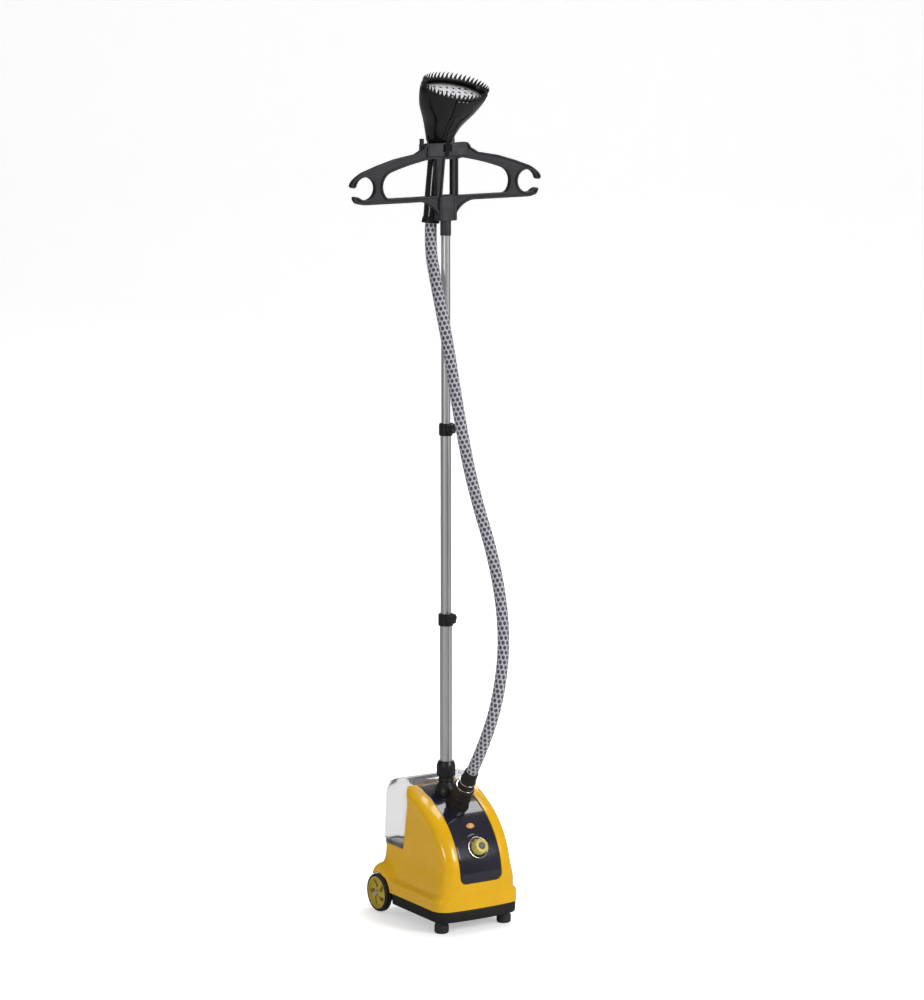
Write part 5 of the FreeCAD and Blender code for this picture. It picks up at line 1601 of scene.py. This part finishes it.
# ---------------------------------------------------------------------------------------------
# Steam head
# ---------------------------------------------------------------------------------------------
@dataclass
class SteamHead(Assembly):
    """Funnel with its lip and spine, bristle ring, latch and handle."""

    lean: float = 5.4
    tilt: float = 30.0
    long: float = 66.0
    short: float = 37.0
    teeth: int = 46
    spot: Point = (0.0, 18.0, 1404.0)
    sections: tuple[tuple[float, float, float, float, float], ...] = (
        (23.5, 23.5, 0, 0, 0), (34.5, 30, 5, 27, 10), (53.5, 37.5, 17, 56, 20), (65, 37.5, 31, 80, 28),
        (66, 37, 36, 89.4, 30))

    def frame(self) -> Matrix:
        """From the head's own millimetres to the object's."""
        return Matrix.Translation(Vector(self.spot)) @ Matrix.Rotation(math.radians(self.lean), 4, "Y")

    def face(self) -> Matrix:
        """From the steam face's own millimetres to the object's."""
        _, _, step, height, _ = self.sections[-1]
        return (self.frame() @ Matrix.Translation((0, -step, height))
                @ Matrix.Rotation(math.radians(self.tilt), 4, "X"))

    def section(self, t: float) -> tuple[float, float, float, float, float]:
        """The funnel's section at t from 0 to 1, smooth through the given ones."""
        last = len(self.sections) - 1
        place = t * last
        i = min(int(place), last - 1)
        u = place - i
        keys = [self.sections[min(max(i + k, 0), last)] for k in (-1, 0, 1, 2)]
        return tuple(0.5 * (2 * b + (c - a) * u + (2 * a - 5 * b + 4 * c - d) * u * u
                            + (3 * b - a - 3 * c + d) * u ** 3) for a, b, c, d in zip(*keys))

    def ring(self, t: float, inset: float) -> list[Vector]:
        """A closed ring of the funnel.

        Args:
            t: where along it, 0 at the neck and 1 at the rim.
            inset: how far inside the surface.

        Returns:
            Points in the head's frame.
        """
        long, short, step, height, tilt = self.section(t)
        reach, turn = 1 - inset / max(long, short), Matrix.Rotation(math.radians(tilt), 3, "X")
        return [turn @ point + Vector((0, -step, height))
                for point in oval(long * reach, short * reach, 0.0, 96)]

    def build_funnel(self) -> None:
        """The polished funnel with an inside wall and a rolled lip."""
        soup = Soup()
        steps, end = 36, 0.985
        rows = [self.ring(i / steps * end, 0.0) for i in range(steps + 1)]
        rows += [self.ring(t, inset) for t, inset in ((0.99, -0.9), (0.998, -1.3), (1.0, -0.6))]
        rows.append([p + Vector((0, -0.3, 0.5)) for p in self.ring(1.0, 0.8)])
        rows.append(self.ring(1.0, 2.4))
        rows += [self.ring(i / steps * end, 2.8) for i in range(steps, 4, -4)]
        soup.block(rows, foot=False)
        soup.place(self.frame())
        self.finish(soup.build("head_funnel", 50), "head_gloss", "steam_head", "head_shell")

    def build_bristles(self) -> None:
        """The ring of curved teeth round the steam face."""
        soup = Soup()
        seat = ((5.4, -1.5), (5.2, 1.6), (4.4, 2.6), (1.4, 2.8), (0.2, 1.8), (0.1, 0.1))
        soup.grid([oval(self.long - inset, self.short - inset, z, 120) for inset, z in seat], closed=True)
        for index in range(self.teeth):
            turn = 2 * math.pi * (index + 0.5) / self.teeth
            foot = Vector(((self.long - 2.6) * math.cos(turn), (self.short - 2.6) * math.sin(turn), 2.0))
            out = Vector((foot.x / self.long ** 2, foot.y / self.short ** 2, 0)).normalized()
            along = Vector((-out.y, out.x, 0))
            rows = []
            for u in range(6):
                t = u / 5
                curl = out * (2.2 * math.sin(t * 1.7)) - along * 2.2 * t * t
                middle = foot + Vector((0, 0, 10.5 * t)) + curl
                wide, deep = 3.1 * (1 - 0.8 * t) ** 0.9, 1.7 * (1 - 0.66 * t)
                rows.append([middle + along * wide * math.cos(a) + out * deep * math.sin(a)
                             for a in (2 * math.pi * k / 8 for k in range(8))])
            soup.block(rows, foot=False)
        soup.place(self.face())
        self.finish(soup.build("bristle_teeth", 40), "black_plastic", "steam_head", "bristle_ring")

    def strip(self, first: float, last: float, half: Callable[[float], float],
              lift: Callable[[float], float]) -> Soup:
        """A raised strip on the front of the funnel.

        Args:
            first: where it starts, 0 at the neck and 1 at the rim.
            last: where it ends.
            half: half width, from 0 to 1 along the strip.
            lift: height over the funnel, from 0 to 1 along the strip.

        Returns:
            The strip in the object's frame.
        """
        soup = Soup()
        rows = []
        for i in range(25):
            part = i / 24
            long, short, step, height, tilt = self.section(first + (last - first) * part)
            turn = Matrix.Rotation(math.radians(tilt), 3, "X")
            wide, rise = half(part), lift(part)
            row = []
            for x, share in ((1.0, -0.3), (0.985, 0.55), (0.92, 0.85), (0.75, 0.97), (0.4, 1.0), (0.0, 1.0)):
                y = -short * math.sqrt(max(0.0, 1 - (x * wide / long) ** 2)) - rise * share
                row.append((x * wide, y))
            row = [(-x, y) for x, y in row] + [(x, y) for x, y in reversed(row[:-1])]
            rows.append([turn @ Vector((x, y, 0)) + Vector((0, -step, height)) for x, y in row])
        soup.grid(rows)
        return soup.place(self.frame())

    def build_latch(self) -> None:
        """The brush latch on the front of the funnel and the spine that runs down to the neck."""
        spine = self.strip(0.0, 0.70, lambda t: 8.4 + 4.0 * t, lambda t: 3.6 - 0.8 * t)
        self.finish(spine.build("head_spine", 32), "head_gloss", "steam_head")
        latch = self.strip(0.68, 0.97, lambda t: 12.6 + t, lambda t: (
            3.4 * ease(t, -0.05, 0.05) * (1 - ease(t, 0.95, 1.05)) + 0.8 * ease(t, 0.6, 0.7)))
        self.finish(latch.build("latch_cover", 32), "head_gloss", "steam_head", "brush_latch")

    def build_handle(self) -> None:
        """The round handle and its flared cuff."""
        profile = ((23.6, 0, 0.4), (23.2, 0.2, -2), (20.6, 1.4, -6), (18, 3, -10.5), (16, 4.8, -16),
                   (14.8, 6, -22), (13.9, 7, -29), (13.5, 7.5, -36), (13.5, 7.5, -60), (13.8, 7.5, -80),
                   (13.9, 7.5, -100), (13.6, 7.5, -120), (13.5, 7.5, -136))
        soup = Soup()
        soup.grid([oval(radius, radius, z, 64, shift) for radius, shift, z in profile], closed=True)
        grip = soup.place(self.frame()).build("head_grip", 40)
        self.finish(grip, "head_gloss", "steam_head", "head_handle")
        self.turned("grip_cuff", self.frame() @ Matrix.Translation((0, 7.5, 0)),
                    [(11.6, -147.4), (15.4, -147.4), (16.0, -146.6), (15.7, -143.0), (15.0, -139.0),
                     (14.1, -136.4), (13.5, -135.6)], 0.7, 72, "black_rubber", "steam_head", "handle_cuff")

    def build(self) -> None:
        """Builds the head."""
        self.build_funnel()
        self.build_bristles()
        self.build_latch()
        self.build_handle()


# ---------------------------------------------------------------------------------------------
# Studio
# ---------------------------------------------------------------------------------------------
@dataclass
class Studio:
    """Pale floor with a curved backdrop, soft lights and the camera.

    Attributes:
        ambient: strength of the surroundings that lights matt surfaces.
        mirrored: strength of the surroundings seen in glossy surfaces.
    """

    ambient: ClassVar[float] = 0.36
    mirrored: ClassVar[float] = 0.20

    image_height: float = 1000.0
    focal_length: float = 3757.6
    camera_at: Point = (-3.5077, -5.5937, 1.8747)
    yaw: float = 32.3547
    pitch: float = 9.5491

    def build_floor(self) -> None:
        """The floor sheet, which turns up into the backdrop."""
        size, rows = 14.0, []
        for y, z in ((-size, 0.0), (3.0, 0.0), (4.2, 0.2), (5.2, 0.9), (5.8, 2.0), (6.0, 3.5), (6.0, 9.0)):
            rows.append([(x, y, z) for x in (-size, 0.0, size)])
        soup = Soup()
        soup.grid([[tuple(c / MM for c in p) for p in row] for row in rows])
        floor = soup.build("studio_floor", 80)
        turn = Matrix.Rotation(math.radians(-self.yaw), 4, "Z")
        floor.data.transform(turn)
        floor.data.materials.append(Paper("studio_paper", (0.93, 0.93, 0.93)).build())

    def light(self, name: str, at: Point, target: Point, size: float, power: float) -> None:
        """Adds a square soft light that faces a point."""
        lamp = bpy.data.lights.new(name, "AREA")
        lamp.size, lamp.energy = size, power
        holder = bpy.data.objects.new(name, lamp)
        holder.location = at
        holder.rotation_euler = (Vector(at) - Vector(target)).to_track_quat("Z", "Y").to_euler()
        bpy.context.scene.collection.objects.link(holder)

    def build(self) -> None:
        """Builds the floor, the lights, the sky and the camera."""
        self.build_floor()
        middle = (0.0, 0.0, 0.7)
        for name, at, size, power in (
                ("key", (1.8, -4.4, 2.6), 1.4, 128), ("fill", (-4.4, -2.2, 1.9), 1.0, 46),
                ("top", (1.3, 0.6, 3.8), 1.7, 50), ("rear", (2.6, 2.8, 2.2), 1.2, 36)):
            self.light(name, at, middle, size, power)
        world = bpy.data.worlds.new("studio_sky")
        world.use_nodes = True
        sky = world.node_tree.nodes["Background"]
        sky.inputs[0].default_value = (1.0, 1.0, 1.0, 1.0)
        nodes = Nodes(world.node_tree)
        ray = nodes.add("ShaderNodeLightPath").outputs
        seen = nodes.math("MULTIPLY_ADD", ray["Is Camera Ray"], 1.0 - self.ambient, self.ambient)
        shine = nodes.math("MULTIPLY", mirror_rays(nodes, ray), self.ambient - self.mirrored)
        nodes.feed(sky.inputs[1], nodes.math("SUBTRACT", seen, shine))
        bpy.context.scene.world = world
        lens = bpy.data.cameras.new("studio_camera")
        lens.sensor_fit = "VERTICAL"
        lens.sensor_height = 36.0
        lens.lens = self.focal_length * lens.sensor_height / self.image_height
        lens.clip_end = 60.0
        camera = bpy.data.objects.new("studio_camera", lens)
        camera.location = self.camera_at
        camera.rotation_euler = Euler((math.radians(90 - self.pitch), 0, math.radians(-self.yaw)))
        bpy.context.scene.collection.objects.link(camera)
        bpy.context.scene.camera = camera
        bpy.context.scene.view_settings.view_transform = "Standard"


def corners(bounds: Iterable[Iterable[float]]) -> list[list[float]]:
    """A box as plain lists."""
    return [[float(c) for c in corner] for corner in bounds]


def main() -> None:
    """Loads the frame, builds every sub-assembly and reports each."""
    logging.basicConfig(level=logging.INFO, format="%(message)s")
    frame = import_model()
    joints = frame["record"]["behaviour"]["joints"]
    wardrobe = Wardrobe()
    LOG.info("dressed %d frame nodes", wardrobe.carry(frame["nodes"], frame["record"]))
    Studio().build()
    outlet, hose = Outlet(wardrobe, joints), Hose(wardrobe, joints)
    hose.build("mast_middle_slide", outlet.build())
    kinds = (Base, Controls, Tank, Wheels, Mast, Hanger, SteamHead)
    assemblies = [kind(wardrobe, joints) for kind in kinds]
    for assembly in assemblies:
        assembly.build()
    for assembly in (outlet, hose, *assemblies):
        for piece in assembly.pieces:
            LOG.info("%s: %s, %d faces", type(assembly).__name__, piece.name, len(piece.data.polygons))
    bpy.context.view_layer.update()


if __name__ == "__main__":
    main()
